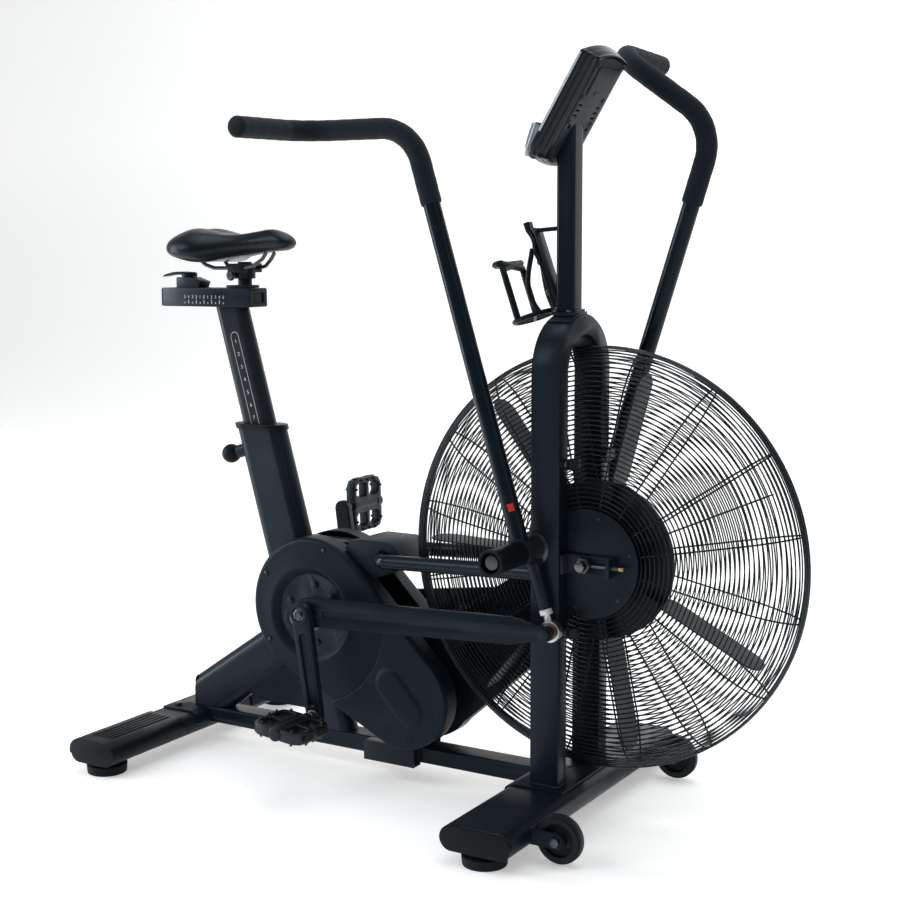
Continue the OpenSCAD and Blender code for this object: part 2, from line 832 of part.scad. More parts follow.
module link(s) {
    px = (s < 0) ? pin_rx : pin_lx;
    pz = (s < 0) ? pin_rz : pin_lz;
    tilt = (s < 0) ? link_tilt_r : link_tilt_l;
    mid = s * (link_y0 + link_y1) / 2;
    translate([px, 0, pz]) rotate([0, -tilt, 0]) {
        difference() {
            slab(mid - 5, mid + 5) {
                circle(r = 24.5);
                translate([0, -24.5]) square([34, 49]);
                polygon([[20, -24.5], [link_l - 60, -22], [link_l - 14, -12.5], [link_l - 14, 12.5],
                    [link_l - 60, 22], [20, 24.5]]);
                translate([link_l, 0]) circle(r = 13);
                translate([link_l - 16, -12.5]) square([16, 25]);
            }
            pin_y(0, 0, mid - 6, mid + 6, 9 + run);
            // long pressed groove
            slab(s * link_y1 - 1.6, s * link_y1 + 1.6) translate([170, 0]) oval(270, 15);
        }
        // pivot bolt at the handle end, its shank short of the rod end's ball
        pin_y(link_l, 0, s * 119 - 4.4, s * 119 + 4.4, 7);
        hex_y(link_l, 0, s * (link_y1 + 2.5) - 2.6, s * (link_y1 + 2.5) + 2.6, 10);
    }
}

module link_right() {
    color(black) link(-1);
}

module link_left() {
    color(black) link(1);
}

module pivot_studs() {
    color(steel) for (s = [-1, 1]) {
        pin_y(pivot_x, pivot_z, s * 91.4 - 1.3, s * 91.4 + 1.3, 28);
        pin_y(pivot_x, pivot_z, s * 157 - 67, s * 157 + 67, 11);
    }
}

module foot_pegs() {
    color(plastic) for (s = [-1, 1]) difference() {
        union() {
            pin_y(pivot_x, pivot_z, s * 185 - 42, s * 185 + 42, 19.5);
            pin_y(pivot_x, pivot_z, s * 226 - 3, s * 226 + 3, 21);
        }
        pin_y(pivot_x, pivot_z, s * 163.2 - 61.2, s * 163.2 + 61.2, 11.1);
    }
}

module handle_frame(s) {
    lean = (s < 0) ? lean_r : lean_l;
    translate([pivot_x, 0, pivot_z]) rotate([0, lean, 0]) children();
}

module handle_path(s, r, from_z, cap) {
    o = [0, s * arm_y, 0];
    a = [0, s * (arm_y - arm_in), arm_l];
    b = [-202, s * (arm_y - arm_in - 3), arm_l + 66];
    c = [-199, s * 290, arm_l + 61];
    u = (a - o) / norm(a - o);
    v = (b - a) / norm(b - a);
    w = (c - b) / norm(c - b);
    t1 = knee_r * tan(acos(u * v) / 2);
    t2 = tip_r * tan(acos(v * w) / 2);
    rod(o + from_z * u, a - (t1 - 1) * u, r);
    bend(a, u, v, knee_r, r);
    rod(a + (t1 - 1) * v, b - (t2 - 1) * v, r);
    bend(b, v, w, tip_r, r);
    rod(b + (t2 - 1) * w, c + cap * w, r);
}

module handle(s) {
    handle_frame(s) difference() {
        union() {
            handle_path(s, tube_r, 12, 0);
            pin_y(0, 0, s * 117.7 - 23.5, s * 117.7 + 23.5, 21);
            rod([0, s * lower_y, -14], [0, s * lower_y, -rod_r + 36], 10.5);
        }
        pin_y(0, 0, s * 118 - 40, s * 118 + 40, 11 + run);
    }
}

module handle_right() {
    color(black) handle(-1);
}

module handle_left() {
    color(black) handle(1);
}

module grip(s) {
    handle_frame(s) difference() {
        handle_path(s, foam_r, 562, 4);
        handle_path(s, tube_r + 0.3, 500, 0.3);
    }
}

module grip_right() {
    color([0.14, 0.15, 0.16]) grip(-1);
}

module grip_left() {
    color([0.14, 0.15, 0.16]) grip(1);
}

module rod_end(s) {
    handle_frame(s) {
        difference() {
            pin_y(0, -rod_r, s * lower_y - 7, s * lower_y + 7, 17);
            pin_y(0, -rod_r, s * lower_y - 8, s * lower_y + 8, 11.5);
        }
        translate([0, s * lower_y, -rod_r]) intersection() {
            sphere(r = 12);
            cube([40, 14.6, 40], center = true);
        }
        rod([0, s * lower_y, -rod_r + 15], [0, s * lower_y, -rod_r + 35.9], 6.5);
        translate([0, s * lower_y, -rod_r + 27]) cylinder(h = 8.8, r = 11.5, $fn = 6);
    }
}

module rod_end_right() {
    color(steel) rod_end(-1);
}

module rod_end_left() {
    color(steel) rod_end(1);
}

// ---- fan ----

module fan_axle() {
    color(steel) {
        pin_y(fan_x, fan_z, -90, 90, 8);
        // spacers between the guard discs and the brackets
        for (s = [-1, 1])
            pin_y(fan_x, fan_z, s * 62.2 - 1.4, s * 62.2 + 1.4, 14);
    }
}

module axle_brackets() {
    color(black) for (s = [-1, 1]) {
        difference() {
            union() {
                translate([leg_x0 + leg_d + 0.1, s * 67.2 - 3.5, fan_z - 15]) cube([84, 7, 30]);
                translate([leg_x0 + leg_d + 78, s * 75 - 11, fan_z - 15]) cube([6, 22, 30]);
                translate([leg_x0 + leg_d + 0.1, s * 75 - 12, fan_z - 15]) cube([5, 24, 30]);
            }
            pin_y(fan_x, fan_z, s * 67.2 - 10, s * 67.2 + 10, 8.1);
            translate([leg_x0 + leg_d + 70, s * 75, fan_z]) rotate([0, 90, 0]) cylinder(h = 20, r = 3.1);
        }
    }
}

module blade2d() {
    translate([(118 + blade_tip_r) / 2, 0]) rrect(blade_tip_r - 118, blade_w, 26);
    translate([96, -20]) square([60, 40]);
}

module fan_wheel() {
    color([0.12, 0.13, 0.14]) translate([fan_x, 0, fan_z]) rotate([90, 0, 0]) difference() {
        union() {
            translate([0, 0, 13]) cylinder(h = 3, r = 128);
            translate([0, 0, -26]) cylinder(h = 74, r = 26);
            translate([0, 0, -1]) cylinder(h = 30, r = 45);
            for (k = [0:blade_n - 1])
                rotate([0, 0, k * 360 / blade_n + blade_a]) rotate([90, 0, 0])
                    translate([0, 14, -1.25]) linear_extrude(2.5) blade2d();
        }
        translate([0, 0, -60]) cylinder(h = 150, r = 8 + run);
    }
}

module fan_pulley() {
    color(steel) difference() {
        union() {
            pin_y(fan_x, fan_z, 36, 50, fan_pulley_r);
            pin_y(fan_x, fan_z, 26.2, 54, 15);
        }
        pin_y(fan_x, fan_z, 20, 60, 8 + run);
    }
}

function dome(r, deep) = (r < 240) ? deep : deep * sqrt(1 - pow((r - 240) / 100, 2));

module cage_half(deep) {
    w = 3;
    rings = [100, 145, 190, 235, 275, 308, 330];
    rib_r = [84, 130, 180, 240, 270, 296, 316, 330, 337, 339.5];
    side = (deep < 0) ? -1 : 1;
    translate([fan_x, cage_mid, fan_z]) rotate([90, 0, 0]) {
        for (r = rings)
            rotate_extrude($fn = 72) translate([r, -dome(r, deep)]) square([w, w], center = true);
        rotate_extrude($fn = 72) translate([cage_r - 2.5, -side * 2.6]) square([5, 5], center = true);
        for (k = [0:rib_n - 1])
            rotate([90, 0, k * 360 / rib_n + 22.5]) translate([0, 0, -1.5]) linear_extrude(3)
                polygon(concat([for (r = rib_r) [r, -dome(r, deep) + side * 3.4]],
                    [for (i = [len(rib_r) - 1:-1:0]) [rib_r[i], -dome(rib_r[i], deep) + side * 0.4]]));
    }
}

module cage_right() {
    color(plastic) {
        cage_half(cage_near - cage_mid);
        difference() {
            pin_y(fan_x, fan_z, cage_near - 4, cage_near + 3, 86);
            pin_y(fan_x, fan_z, cage_near - 1, cage_near + 5, 83);
            pin_y(fan_x, fan_z, cage_near - 5, cage_near + 5, 16);
        }
    }
}

module cage_left() {
    color(plastic) {
        cage_half(cage_far - cage_mid);
        difference() {
            pin_y(fan_x, fan_z, cage_far - 4, cage_far + 1, 86);
            pin_y(fan_x, fan_z, cage_far - 5, cage_far + 3, 30);
        }
    }
}

module jackshaft() {
    color(steel) {
        pin_y(jack_x, jack_z, -58, 53, 10);
        pin_y(jack_x, jack_z, -57, -41, jack_small_r);
        difference() {
            pin_y(jack_x, jack_z, 36, 50, jack_big_r);
            pin_y(jack_x, jack_z, 45, 52, jack_big_r - 9);
        }
    }
}

module belt_loop(x0, z0, r0, x1, z1, r1, y0, y1) {
    difference() {
        slab(y0, y1) strap2(x0, z0, r0 + 4.2, x1, z1, r1 + 4.2);
        slab(y0 - 1, y1 + 1) strap2(x0, z0, r0 + 0.5, x1, z1, r1 + 0.5);
    }
}

module belts() {
    color([0.06, 0.06, 0.06]) {
        belt_loop(crank_x, crank_z, pulley_r, jack_x, jack_z, jack_small_r, -55, -43);
        belt_loop(jack_x, jack_z, jack_big_r, fan_x, fan_z, fan_pulley_r, 37, 49);
    }
}

// ---- bottle holder ----

module bottle_bracket() {
    color(black) {
        rod([201.6, 0, 951], [161, 0, 948], 3.5);
        slab(-13, 13) polygon([[158, 952], [162, 952], [201.8, 842], [201.8, 830], [199.5, 832]]);
    }
}

module bottle_frame() {
    translate([158, 0, 806]) rotate([0, -19.3, 0]) children();
}

module bottle_cage() {
    color(plastic) bottle_frame() {
        difference() {
            cylinder(h = 14, r = 37);
            translate([0, 0, 3]) cylinder(h = 30, r = 34);
        }
        difference() {
            translate([0, 0, 86]) cylinder(h = 10, r = 37);
            translate([0, 0, 85]) cylinder(h = 14, r = 34);
        }
        for (a = [110, 180, 250])
            rotate([0, 0, a]) translate([34, -6, 10]) cube([3, 12, 80]);
        difference() {
            translate([34, -11, 14]) cube([13.4, 22, 138]);
            translate([40, -7, 20]) cube([20, 14, 60]);
        }
        translate([22, -9, 146]) cube([20, 18, 5]);
    }
}

// ---- console ----

module tilt() {
    translate([174.4, 0, 1062.6]) rotate([0, -58.4, 0]) children();
}

// outline with bowed ends, x up the display, r0 and r1 the lower and upper corners
module bowed2d(a0, a1, half, bow, r0, r1) {
    hull() {
        for (s = [-1, 1]) {
            translate([a0 + r0, s * (half - r0)]) circle(r = r0, $fn = 32);
            translate([a1 - r1, s * (half - r1)]) circle(r = r1, $fn = 24);
        }
        polygon(concat(
            [for (t = [-1:0.25:1]) [a0 - bow * (1 - t * t), t * (half - r0)]],
            [for (t = [1:-0.25:-1]) [a1 + bow * (1 - t * t), t * (half - r1)]]));
    }
}

module console_housing() {
    color(plastic) tilt() difference() {
        hull() {
            translate([0, 0, -5]) linear_extrude(5) bowed2d(2, 183, 70, 12, 22, 4);
            translate([0, 0, -console_deep]) linear_extrude(1) bowed2d(8, 182, 49, 8, 14, 4);
        }
        // seat for the display lens
        translate([22, -61, -5.6]) cube([146, 122, 10]);
        // hollow behind the display wall
        hull() {
            translate([0, 0, -11]) linear_extrude(1) bowed2d(9, 177, 60, 9, 16, 5);
            translate([0, 0, -console_deep - 1]) linear_extrude(1) bowed2d(11, 178, 45, 7, 11, 4);
        }
    }
}

module console_back() {
    color([0.33, 0.35, 0.37]) difference() {
        tilt() difference() {
            translate([0, 0, -console_deep - 1.6]) linear_extrude(3.6) bowed2d(11.5, 177.5, 44.4, 7, 10.5, 3.5);
            for (s = [-1, 1]) {
                for (k = [0:2])
                    translate([84 + k * 9, s * 30 - 6, -40]) cube([3, 12, 30]);
                translate([128, s * 30 - 2, -40]) cube([10, 4, 30]);
                translate([66, s * 30, -40]) cylinder(h = 30, r = 4);
            }
        }
        mast_hole();
    }
}

module mast_hole() {
    translate([mast_x, 0, 1000]) linear_extrude(200) rrect(32.8, 38.8, 8);
}

module console_screen() {
    color([0.05, 0.06, 0.07]) tilt() translate([22.3, -60.7, -5.4]) cube([145.4, 121.4, 5]);
}

module console_tray() {
    color([0.75, 0.77, 0.8]) tilt() slab(-60, 60)
        polygon([[-2, 0.3], [-3, 4], [1, 7], [50, 16], [50.6, 13.4], [7, 5], [5, 0.3]]);
}

base_beam();
front_stabilizer();
rear_stabilizer();
front_caps();
rear_boots();
feet();
wheel_right();
wheel_left();
frame_bolts();
arch_frame();
mast();
side_rails();
junction_cover();
seat_frame();
seat_collar();
pop_pin();
seat_post();
seat_rail();
seat_carriage();
rail_lever();
saddle_clamp();
saddle_base();
saddle();
right_cover();
access_panel();
left_cover();
belt_cover();
cover_screws();
crank_axle();
drive_pulley();
crank_web_right();
crank_web_left();
crank_arm_right();
crank_arm_left();
pedal_right();
pedal_left();
link_right();
link_left();
pivot_studs();
foot_pegs();
handle_right();
handle_left();
grip_right();
grip_left();
rod_end_right();
rod_end_left();
fan_axle();
axle_brackets();
fan_wheel();
fan_pulley();
cage_right();
cage_left();
jackshaft();
belts();
bottle_bracket();
bottle_cage();
console_housing();
console_back();
console_screen();
console_tray();
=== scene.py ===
"""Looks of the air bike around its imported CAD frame.

The frame: +X towards the fan, +Y to the rider's left, +Z up. Sizes are in millimetres and mm()
turns them into Blender's metres, apart from the floor and the lights, which are in metres.
"""

from math import acos, atan2, copysign, cos, degrees, exp, hypot, pi, radians, sin, sqrt, tan

import bmesh
import bpy
import numpy as np
from mathutils import Matrix, Vector


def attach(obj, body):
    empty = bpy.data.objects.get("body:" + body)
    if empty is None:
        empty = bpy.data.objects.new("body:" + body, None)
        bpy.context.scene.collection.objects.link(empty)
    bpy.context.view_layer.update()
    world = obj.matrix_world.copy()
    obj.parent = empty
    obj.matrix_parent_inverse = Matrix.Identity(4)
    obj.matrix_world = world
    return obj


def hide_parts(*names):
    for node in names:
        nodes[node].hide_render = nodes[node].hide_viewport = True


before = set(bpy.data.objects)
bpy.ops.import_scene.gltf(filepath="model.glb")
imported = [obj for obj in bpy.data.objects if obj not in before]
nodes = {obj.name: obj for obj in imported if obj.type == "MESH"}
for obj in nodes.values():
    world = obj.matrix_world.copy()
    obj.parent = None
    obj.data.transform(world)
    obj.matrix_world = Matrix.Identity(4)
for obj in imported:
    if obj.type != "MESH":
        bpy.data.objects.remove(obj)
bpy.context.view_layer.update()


# ---- driving dimensions, the same as the CAD source's ----
CRANK = (-256.0, 283.0)
JACK = (-65.0, 157.0)
FAN = (283.0, 428.0)
PIVOT = (203.0, 450.0)
LOBE = (CRANK[0] + 2, CRANK[1] + 9)
LOBE_R = 127.0
LOBE2_R = 88.0
COVER_OUT = 62.0
COVER_IN = 26.0
SEAT = (-402.0, 602.0)
SEAT_LEAN = radians(15.6)
CAGE_MID = -5.0
CAGE_NEAR = -56.0
CAGE_FAR = 26.0
CAGE_R = 340.0
TUBE_TOP = 62.0
LEG_X = (198.0, 248.0)
LEG_Y = 75.0
CRANK_A = radians(-67.5)
CRANK_R = 168.0
PEDAL_Y = 206.0
ARM_Y, ARM_IN, ARM_L = 126.0, 14.0, 692.0
BEND_R = (80.0, 58.0)
LOWER_Y = 103.5
THROW, THROW_A = 43.5, radians(29)
LINK_L, ROD_R = 461.0, 131.6
GRIP_R = 17.0
GRIP_FROM = 562.0
RAIL_Z = 834.0
RAIL_ENDS = (-608.6, -407.4)
LEVER_X = -564.0
BOTTLE_O = Vector((158, 0, 806))
BOTTLE_LEAN = radians(19.3)
BOTTLE_R = 37.0


# ---- how finely things are drawn ----
SHARP = 32
GUARD_STEPS = 120
END_STEPS = 18
CAP_STEPS = 22
PATH_STEP = 4.0
FAR_OUT = 420.0


# ---- the saddle's swelling ----
VOXEL = 4.5
PRESSURE = 4.0
SWELL_CAP = 5.0
SWELL_ROOM = 2.0


# ---- light and camera ----
DAYLIGHT = (0.93, 0.97, 1.0)
COOL = (0.70, 0.90, 1.0, 1)
DULL = 0.66
CAMERA_AT = (1329.7, -2211.0, 914.2)
CAMERA_YAW, CAMERA_DOWN, CAMERA_ROLL = 31.1, 7.3, -0.2
CAMERA_LENS = 61.83


def mm(p):
    """A point or a length given in millimetres, in metres."""
    if hasattr(p, "__len__"):
        return Vector([c * 0.001 for c in p])
    return p * 0.001


def full_turn(count):
    """Angles evenly spaced round a whole turn."""
    return [2 * pi * k / count for k in range(count)]


def side_name(side):
    return "right" if side < 0 else "left"


# ---- materials ----
def material(name, base, rough, grain=(900, 0.15), mottle=0.25, metallic=0.0, spec=0.5, coat=0.0,
             sheen=0.0, rough_swing=0.08, wear=0.0, streak=None, pores=0.0):
    """A procedural finish. base is linear colour, grain is (scale per metre, bump height in mm),
    mottle how far broad patches vary in tone, wear how much paler the edges are, streak an axis
    along which the fine noise is drawn out, pores the depth in mm of a cell pattern."""
    m = bpy.data.materials.new(name)
    m.use_nodes = True
    nt = m.node_tree
    n, link = nt.nodes, nt.links.new
    shader = n["Principled BSDF"]
    shader.inputs["Metallic"].default_value = metallic
    shader.inputs["Specular IOR Level"].default_value = spec if metallic else DULL * spec
    if not metallic:
        shader.inputs["Specular Tint"].default_value = COOL
    shader.inputs["Coat Weight"].default_value = coat
    shader.inputs["Coat Roughness"].default_value = 0.12
    shader.inputs["Sheen Weight"].default_value = sheen
    shader.inputs["Sheen Roughness"].default_value = 0.45
    coord = n.new("ShaderNodeTexCoord")
    place = n.new("ShaderNodeMapping")
    link(coord.outputs["Object"], place.inputs["Vector"])
    if streak:
        place.inputs["Scale"].default_value = [0.03 if a else 1.0 for a in streak]
    broad = n.new("ShaderNodeTexNoise")
    broad.inputs["Scale"].default_value = 14
    broad.inputs["Detail"].default_value = 4
    link(coord.outputs["Object"], broad.inputs["Vector"])
    fine = n.new("ShaderNodeTexNoise")
    fine.inputs["Scale"].default_value = grain[0]
    fine.inputs["Detail"].default_value = 3
    fine.inputs["Roughness"].default_value = 0.6
    link(place.outputs["Vector"], fine.inputs["Vector"])
    tone = n.new("ShaderNodeMix")
    tone.data_type = "RGBA"
    tone.inputs[6].default_value = (*[c * (1 - mottle) for c in base], 1)
    tone.inputs[7].default_value = (*[min(1, c * (1 + mottle)) for c in base], 1)
    link(broad.outputs["Fac"], tone.inputs[0])
    colour = tone.outputs[2]
    speck = n.new("ShaderNodeMix")
    speck.data_type = "RGBA"
    speck.blend_type = "MULTIPLY"
    speck.inputs[0].default_value = 0.35
    link(colour, speck.inputs[6])
    link(fine.outputs["Color"], speck.inputs[7])
    colour = speck.outputs[2]
    if wear:
        geometry = n.new("ShaderNodeNewGeometry")
        edge = n.new("ShaderNodeMapRange")
        edge.inputs["From Min"].default_value = 0.52
        edge.inputs["From Max"].default_value = 0.62
        edge.inputs["To Max"].default_value = wear
        link(geometry.outputs["Pointiness"], edge.inputs["Value"])
        worn = n.new("ShaderNodeMix")
        worn.data_type = "RGBA"
        worn.inputs[7].default_value = (*[min(1, 0.06 + 2.2 * c) for c in base], 1)
        link(edge.outputs["Result"], worn.inputs[0])
        link(colour, worn.inputs[6])
        colour = worn.outputs[2]
    link(colour, shader.inputs["Base Color"])
    swing = n.new("ShaderNodeMapRange")
    swing.inputs["From Min"].default_value = 0.3
    swing.inputs["From Max"].default_value = 0.7
    swing.inputs["To Min"].default_value = max(0.03, rough - rough_swing)
    swing.inputs["To Max"].default_value = min(1.0, rough + rough_swing)
    link(broad.outputs["Fac"], swing.inputs["Value"])
    link(swing.outputs["Result"], shader.inputs["Roughness"])
    bump = n.new("ShaderNodeBump")
    bump.inputs["Strength"].default_value = 1.0
    bump.inputs["Distance"].default_value = grain[1] * 0.001
    link(fine.outputs["Fac"], bump.inputs["Height"])
    last = bump
    if pores:
        cells = n.new("ShaderNodeTexVoronoi")
        cells.inputs["Scale"].default_value = grain[0] * 0.45
        link(coord.outputs["Object"], cells.inputs["Vector"])
        dimple = n.new("ShaderNodeBump")
        dimple.inputs["Distance"].default_value = pores * 0.001
        link(cells.outputs["Distance"], dimple.inputs["Height"])
        link(bump.outputs["Normal"], dimple.inputs["Normal"])
        last = dimple
    link(last.outputs["Normal"], shader.inputs["Normal"])
    return m


PAINT = material("powder_coat", (0.0042, 0.0082, 0.0128), 0.34, (700, 0.05), 0.22, spec=0.24, wear=0.2)
PAINT_RAIL = material("tube_paint", (0.0036, 0.0068, 0.0104), 0.22, (600, 0.05), 0.2, spec=0.30,
                      wear=0.15)
COVER = material("moulded_cover", (0.0066, 0.0118, 0.0172), 0.46, (1100, 0.12), 0.2, spec=0.22, wear=0.12)
TRIM = material("moulded_trim", (0.0050, 0.0060, 0.0075), 0.42, (1000, 0.10), 0.2, spec=0.24)
GLOSS = material("gloss_housing", (0.0060, 0.0075, 0.0095), 0.22, (500, 0.02), 0.2, spec=0.30, coat=0.15)
BACKPLATE = material("console_back_plastic", (0.015, 0.020, 0.025), 0.5, (1000, 0.08), 0.15, spec=0.35)
RUBBER = material("foot_rubber", (0.0055, 0.0060, 0.0068), 0.66, (800, 0.2), 0.3, spec=0.3)
TYRE = material("wheel_rubber", (0.0075, 0.0085, 0.0098), 0.5, (900, 0.12), 0.25, spec=0.35)
FOAM = material("grip_foam", (0.0100, 0.0150, 0.0200), 0.86, (1500, 0.35), 0.25, spec=0.2, sheen=0.12,
                pores=0.35)
VINYL = material("saddle_vinyl", (0.0045, 0.0052, 0.0062), 0.36, (650, 0.10), 0.22, spec=0.42, pores=0.10)
ZINC = material("zinc_plate", (0.62, 0.63, 0.64), 0.30, (1500, 0.03), 0.15, metallic=1.0,
                streak=(0, 1, 0))
STEEL = material("turned_steel", (0.50, 0.51, 0.52), 0.24, (2200, 0.02), 0.12, metallic=1.0,
                 streak=(0, 1, 0))
DARK_BOLT = material("black_oxide", (0.075, 0.080, 0.088), 0.30, (1500, 0.03), 0.2, metallic=0.8,
                     wear=0.3)
ALLOY = material("dark_alloy", (0.0080, 0.0125, 0.0175), 0.34, (900, 0.05), 0.2, metallic=0.2, spec=0.25,
                 streak=(0, 0, 1))
PEDAL = material("pedal_plastic", (0.0060, 0.0075, 0.0095), 0.36, (1200, 0.12), 0.25, spec=0.45,
                 wear=0.25)
WIRE = material("guard_wire", (0.0040, 0.0055, 0.0075), 0.28, (900, 0.03), 0.2, spec=0.45)
BLADE = material("blade_sheet", (0.0065, 0.0090, 0.0120), 0.42, (700, 0.05), 0.25, spec=0.38, wear=0.15)
PULLEY = material("cast_pulley", (0.0060, 0.0085, 0.0110), 0.38, (800, 0.10), 0.25, spec=0.4)
GREY_BOLT = material("axle_steel", (0.16, 0.17, 0.18), 0.28, (1500, 0.03), 0.2, metallic=1.0)
CLEAR = material("clear_moulding", (0.80, 0.85, 0.88), 0.10, (900, 0.02), 0.08, spec=0.5)
clear_shader = CLEAR.node_tree.nodes["Principled BSDF"]
clear_shader.inputs["Transmission Weight"].default_value = 0.75
clear_shader.inputs["IOR"].default_value = 1.3
BELT = material("ribbed_belt", (0.0055, 0.0058, 0.0064), 0.66, (1300, 0.2), 0.2, spec=0.25)
LENS = material("display_lens", (0.012, 0.015, 0.018), 0.08, (300, 0.005), 0.1, spec=0.6, coat=0.5)
# pale silver that stands in for light: a painted highlight on the console's glossy bezel edges and a
# painted reflection on its lower end and tray rim
HIGHLIGHT_SILVER = material("silver_painted_highlight", (0.55, 0.58, 0.61), 0.28, (900, 0.03), 0.1, metallic=0.35, coat=0.3)
INK = material("scale_ink", (0.62, 0.64, 0.65), 0.6, (1400, 0.03), 0.12)
RED = material("red_mark", (0.70, 0.02, 0.015), 0.4, (900, 0.02), 0.1)
BRASS = material("brass", (0.55, 0.36, 0.14), 0.32, (1500, 0.03), 0.15, metallic=1.0)
LINER = material("bearing_liner", (0.42, 0.13, 0.03), 0.45, (900, 0.05), 0.2, metallic=0.3)


# ---- mesh helpers ----
def soften(mesh, angle):
    """Smooth shading with the edges over angle degrees kept sharp."""
    bm = bmesh.new()
    bm.from_mesh(mesh)
    for f in bm.faces:
        f.smooth = True
    limit = radians(angle)
    for e in bm.edges:
        e.smooth = len(e.link_faces) == 2 and e.calc_face_angle(0) < limit
    bm.to_mesh(mesh)
    bm.free()


def add(name, mesh, body, mat, angle=SHARP, bevel=0.0):
    """A new piece that rides on a body."""
    o = bpy.data.objects.new(name, mesh)
    bpy.context.scene.collection.objects.link(o)
    mesh.materials.clear()
    mesh.materials.append(mat)
    soften(mesh, angle)
    if bevel:
        b = o.modifiers.new("edge", "BEVEL")
        b.width = mm(bevel)
        b.segments = 2
        b.limit_method = "ANGLE"
        b.angle_limit = radians(30)
        b.harden_normals = True
    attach(o, body)
    return o


def from_lists(name, verts, faces):
    mesh = bpy.data.meshes.new(name)
    mesh.from_pydata([mm(v) for v in verts], [], faces)
    bm = bmesh.new()
    bm.from_mesh(mesh)
    bmesh.ops.remove_doubles(bm, verts=bm.verts, dist=1e-6)
    bmesh.ops.recalc_face_normals(bm, faces=bm.faces)
    bm.to_mesh(mesh)
    bm.free()
    return mesh


def skin_rows(rows, ring=True, close=False, caps=False):
    """Vertices and faces of a skin over rows of points. ring closes each row, close joins the last
    row to the first, caps fills the first and last rows."""
    verts = [p for row in rows for p in row]
    n = len(rows[0])
    faces = []
    spans = len(rows) if close else len(rows) - 1
    for i in range(spans):
        a, b = i * n, ((i + 1) % len(rows)) * n
        for j in range(n if ring else n - 1):
            k = (j + 1) % n
            faces.append((a + j, a + k, b + k, b + j))
    if caps:
        faces.append(tuple(range(n))[::-1])
        faces.append(tuple(range((len(rows) - 1) * n, len(rows) * n)))
    return verts, faces


def lathe(name, profile, centre, axis, body, mat, turns=48, full=True):
    """A turned piece. profile is (radius, height along axis) pairs, closed if full."""
    axis = Vector(axis).normalized()
    side = axis.orthogonal().normalized()
    up = axis.cross(side)
    rows = []
    for r, h in profile:
        rows.append([Vector(centre) + axis * h + (side * cos(t) + up * sin(t)) * r
                     for t in full_turn(turns)])
    verts, faces = skin_rows(rows, close=full, caps=not full)
    return add(name, from_lists(name, verts, faces), body, mat)


def join(name, parts, body, mat, angle=SHARP, bevel=0.0):
    """One piece out of several (verts, faces) lists."""
    verts, faces = [], []
    for v, f in parts:
        at = len(verts)
        verts += [tuple(p) for p in v]
        faces += [tuple(i + at for i in q) for q in f]
    return add(name, from_lists(name, verts, faces), body, mat, angle, bevel)


def wire(points, r, sides, closed=False):
    """A round wire along points, as (verts, faces)."""
    pts = [Vector(p) for p in points]
    count = len(pts)
    rows = []
    normal = None
    for i, p in enumerate(pts):
        if closed:
            d = (pts[(i + 1) % count] - pts[i - 1]).normalized()
        else:
            d = (pts[min(i + 1, count - 1)] - pts[max(i - 1, 0)]).normalized()
        if normal is None:
            normal = d.orthogonal().normalized()
        normal = (normal - d * normal.dot(d)).normalized()
        cross = d.cross(normal)
        rows.append([p + (normal * cos(t) + cross * sin(t)) * r for t in full_turn(sides)])
    return skin_rows(rows, close=closed, caps=not closed)


def circle_y(centre, y, r, count):
    """Points of a circle in a plane across Y."""
    return [(centre[0] + r * cos(t), y, centre[1] + r * sin(t)) for t in full_turn(count)]


def plate(name, splines, depth, place, body, mat, bevel):
    """A flat plate with holes: 2D splines in mm, outline first, as thick as depth, with rounded edges.
    place is the matrix, in metres, that puts its plane where it belongs."""
    cu = bpy.data.curves.new(name, "CURVE")
    cu.dimensions = "2D"
    cu.fill_mode = "BOTH"
    cu.extrude = mm(depth / 2 - bevel)
    cu.bevel_depth = mm(bevel)
    cu.bevel_resolution = 2
    cu.offset = -mm(bevel)
    for pts in splines:
        s = cu.splines.new("POLY")
        s.points.add(len(pts) - 1)
        for q, (x, y) in zip(s.points, pts):
            q.co = (x * 0.001, y * 0.001, 0, 1)
        s.use_cyclic_u = True
    tmp = bpy.data.objects.new(name + "_c", cu)
    bpy.context.scene.collection.objects.link(tmp)
    bpy.context.view_layer.update()
    mesh = bpy.data.meshes.new_from_object(tmp.evaluated_get(bpy.context.evaluated_depsgraph_get()))
    bpy.data.objects.remove(tmp)
    mesh.name = name
    mesh.transform(place)
    bm = bmesh.new()
    bm.from_mesh(mesh)
    bmesh.ops.remove_doubles(bm, verts=bm.verts, dist=1e-5)
    bmesh.ops.recalc_face_normals(bm, faces=bm.faces)
    bm.to_mesh(mesh)
    bm.free()
    return add(name, mesh, body, mat, angle=40)


def rounded(w, h, r, n=6):
    """Outline of a rounded rectangle."""
    pts = []
    for sx, sy, a in ((1, 1, 0), (-1, 1, 90), (-1, -1, 180), (1, -1, 270)):
        for k in range(n + 1):
            t = radians(a + 90 * k / n)
            pts.append((sx * (w / 2 - r) + r * cos(t), sy * (h / 2 - r) + r * sin(t)))
    return pts


def frame_at(origin, x, y):
    """A matrix in metres with its local x and y along the given directions, its origin in mm."""
    x = Vector(x).normalized()
    z = x.cross(Vector(y)).normalized()
    y = z.cross(x)
    m = Matrix((x, y, z)).transposed().to_4x4()
    m.translation = mm(origin)
    return m


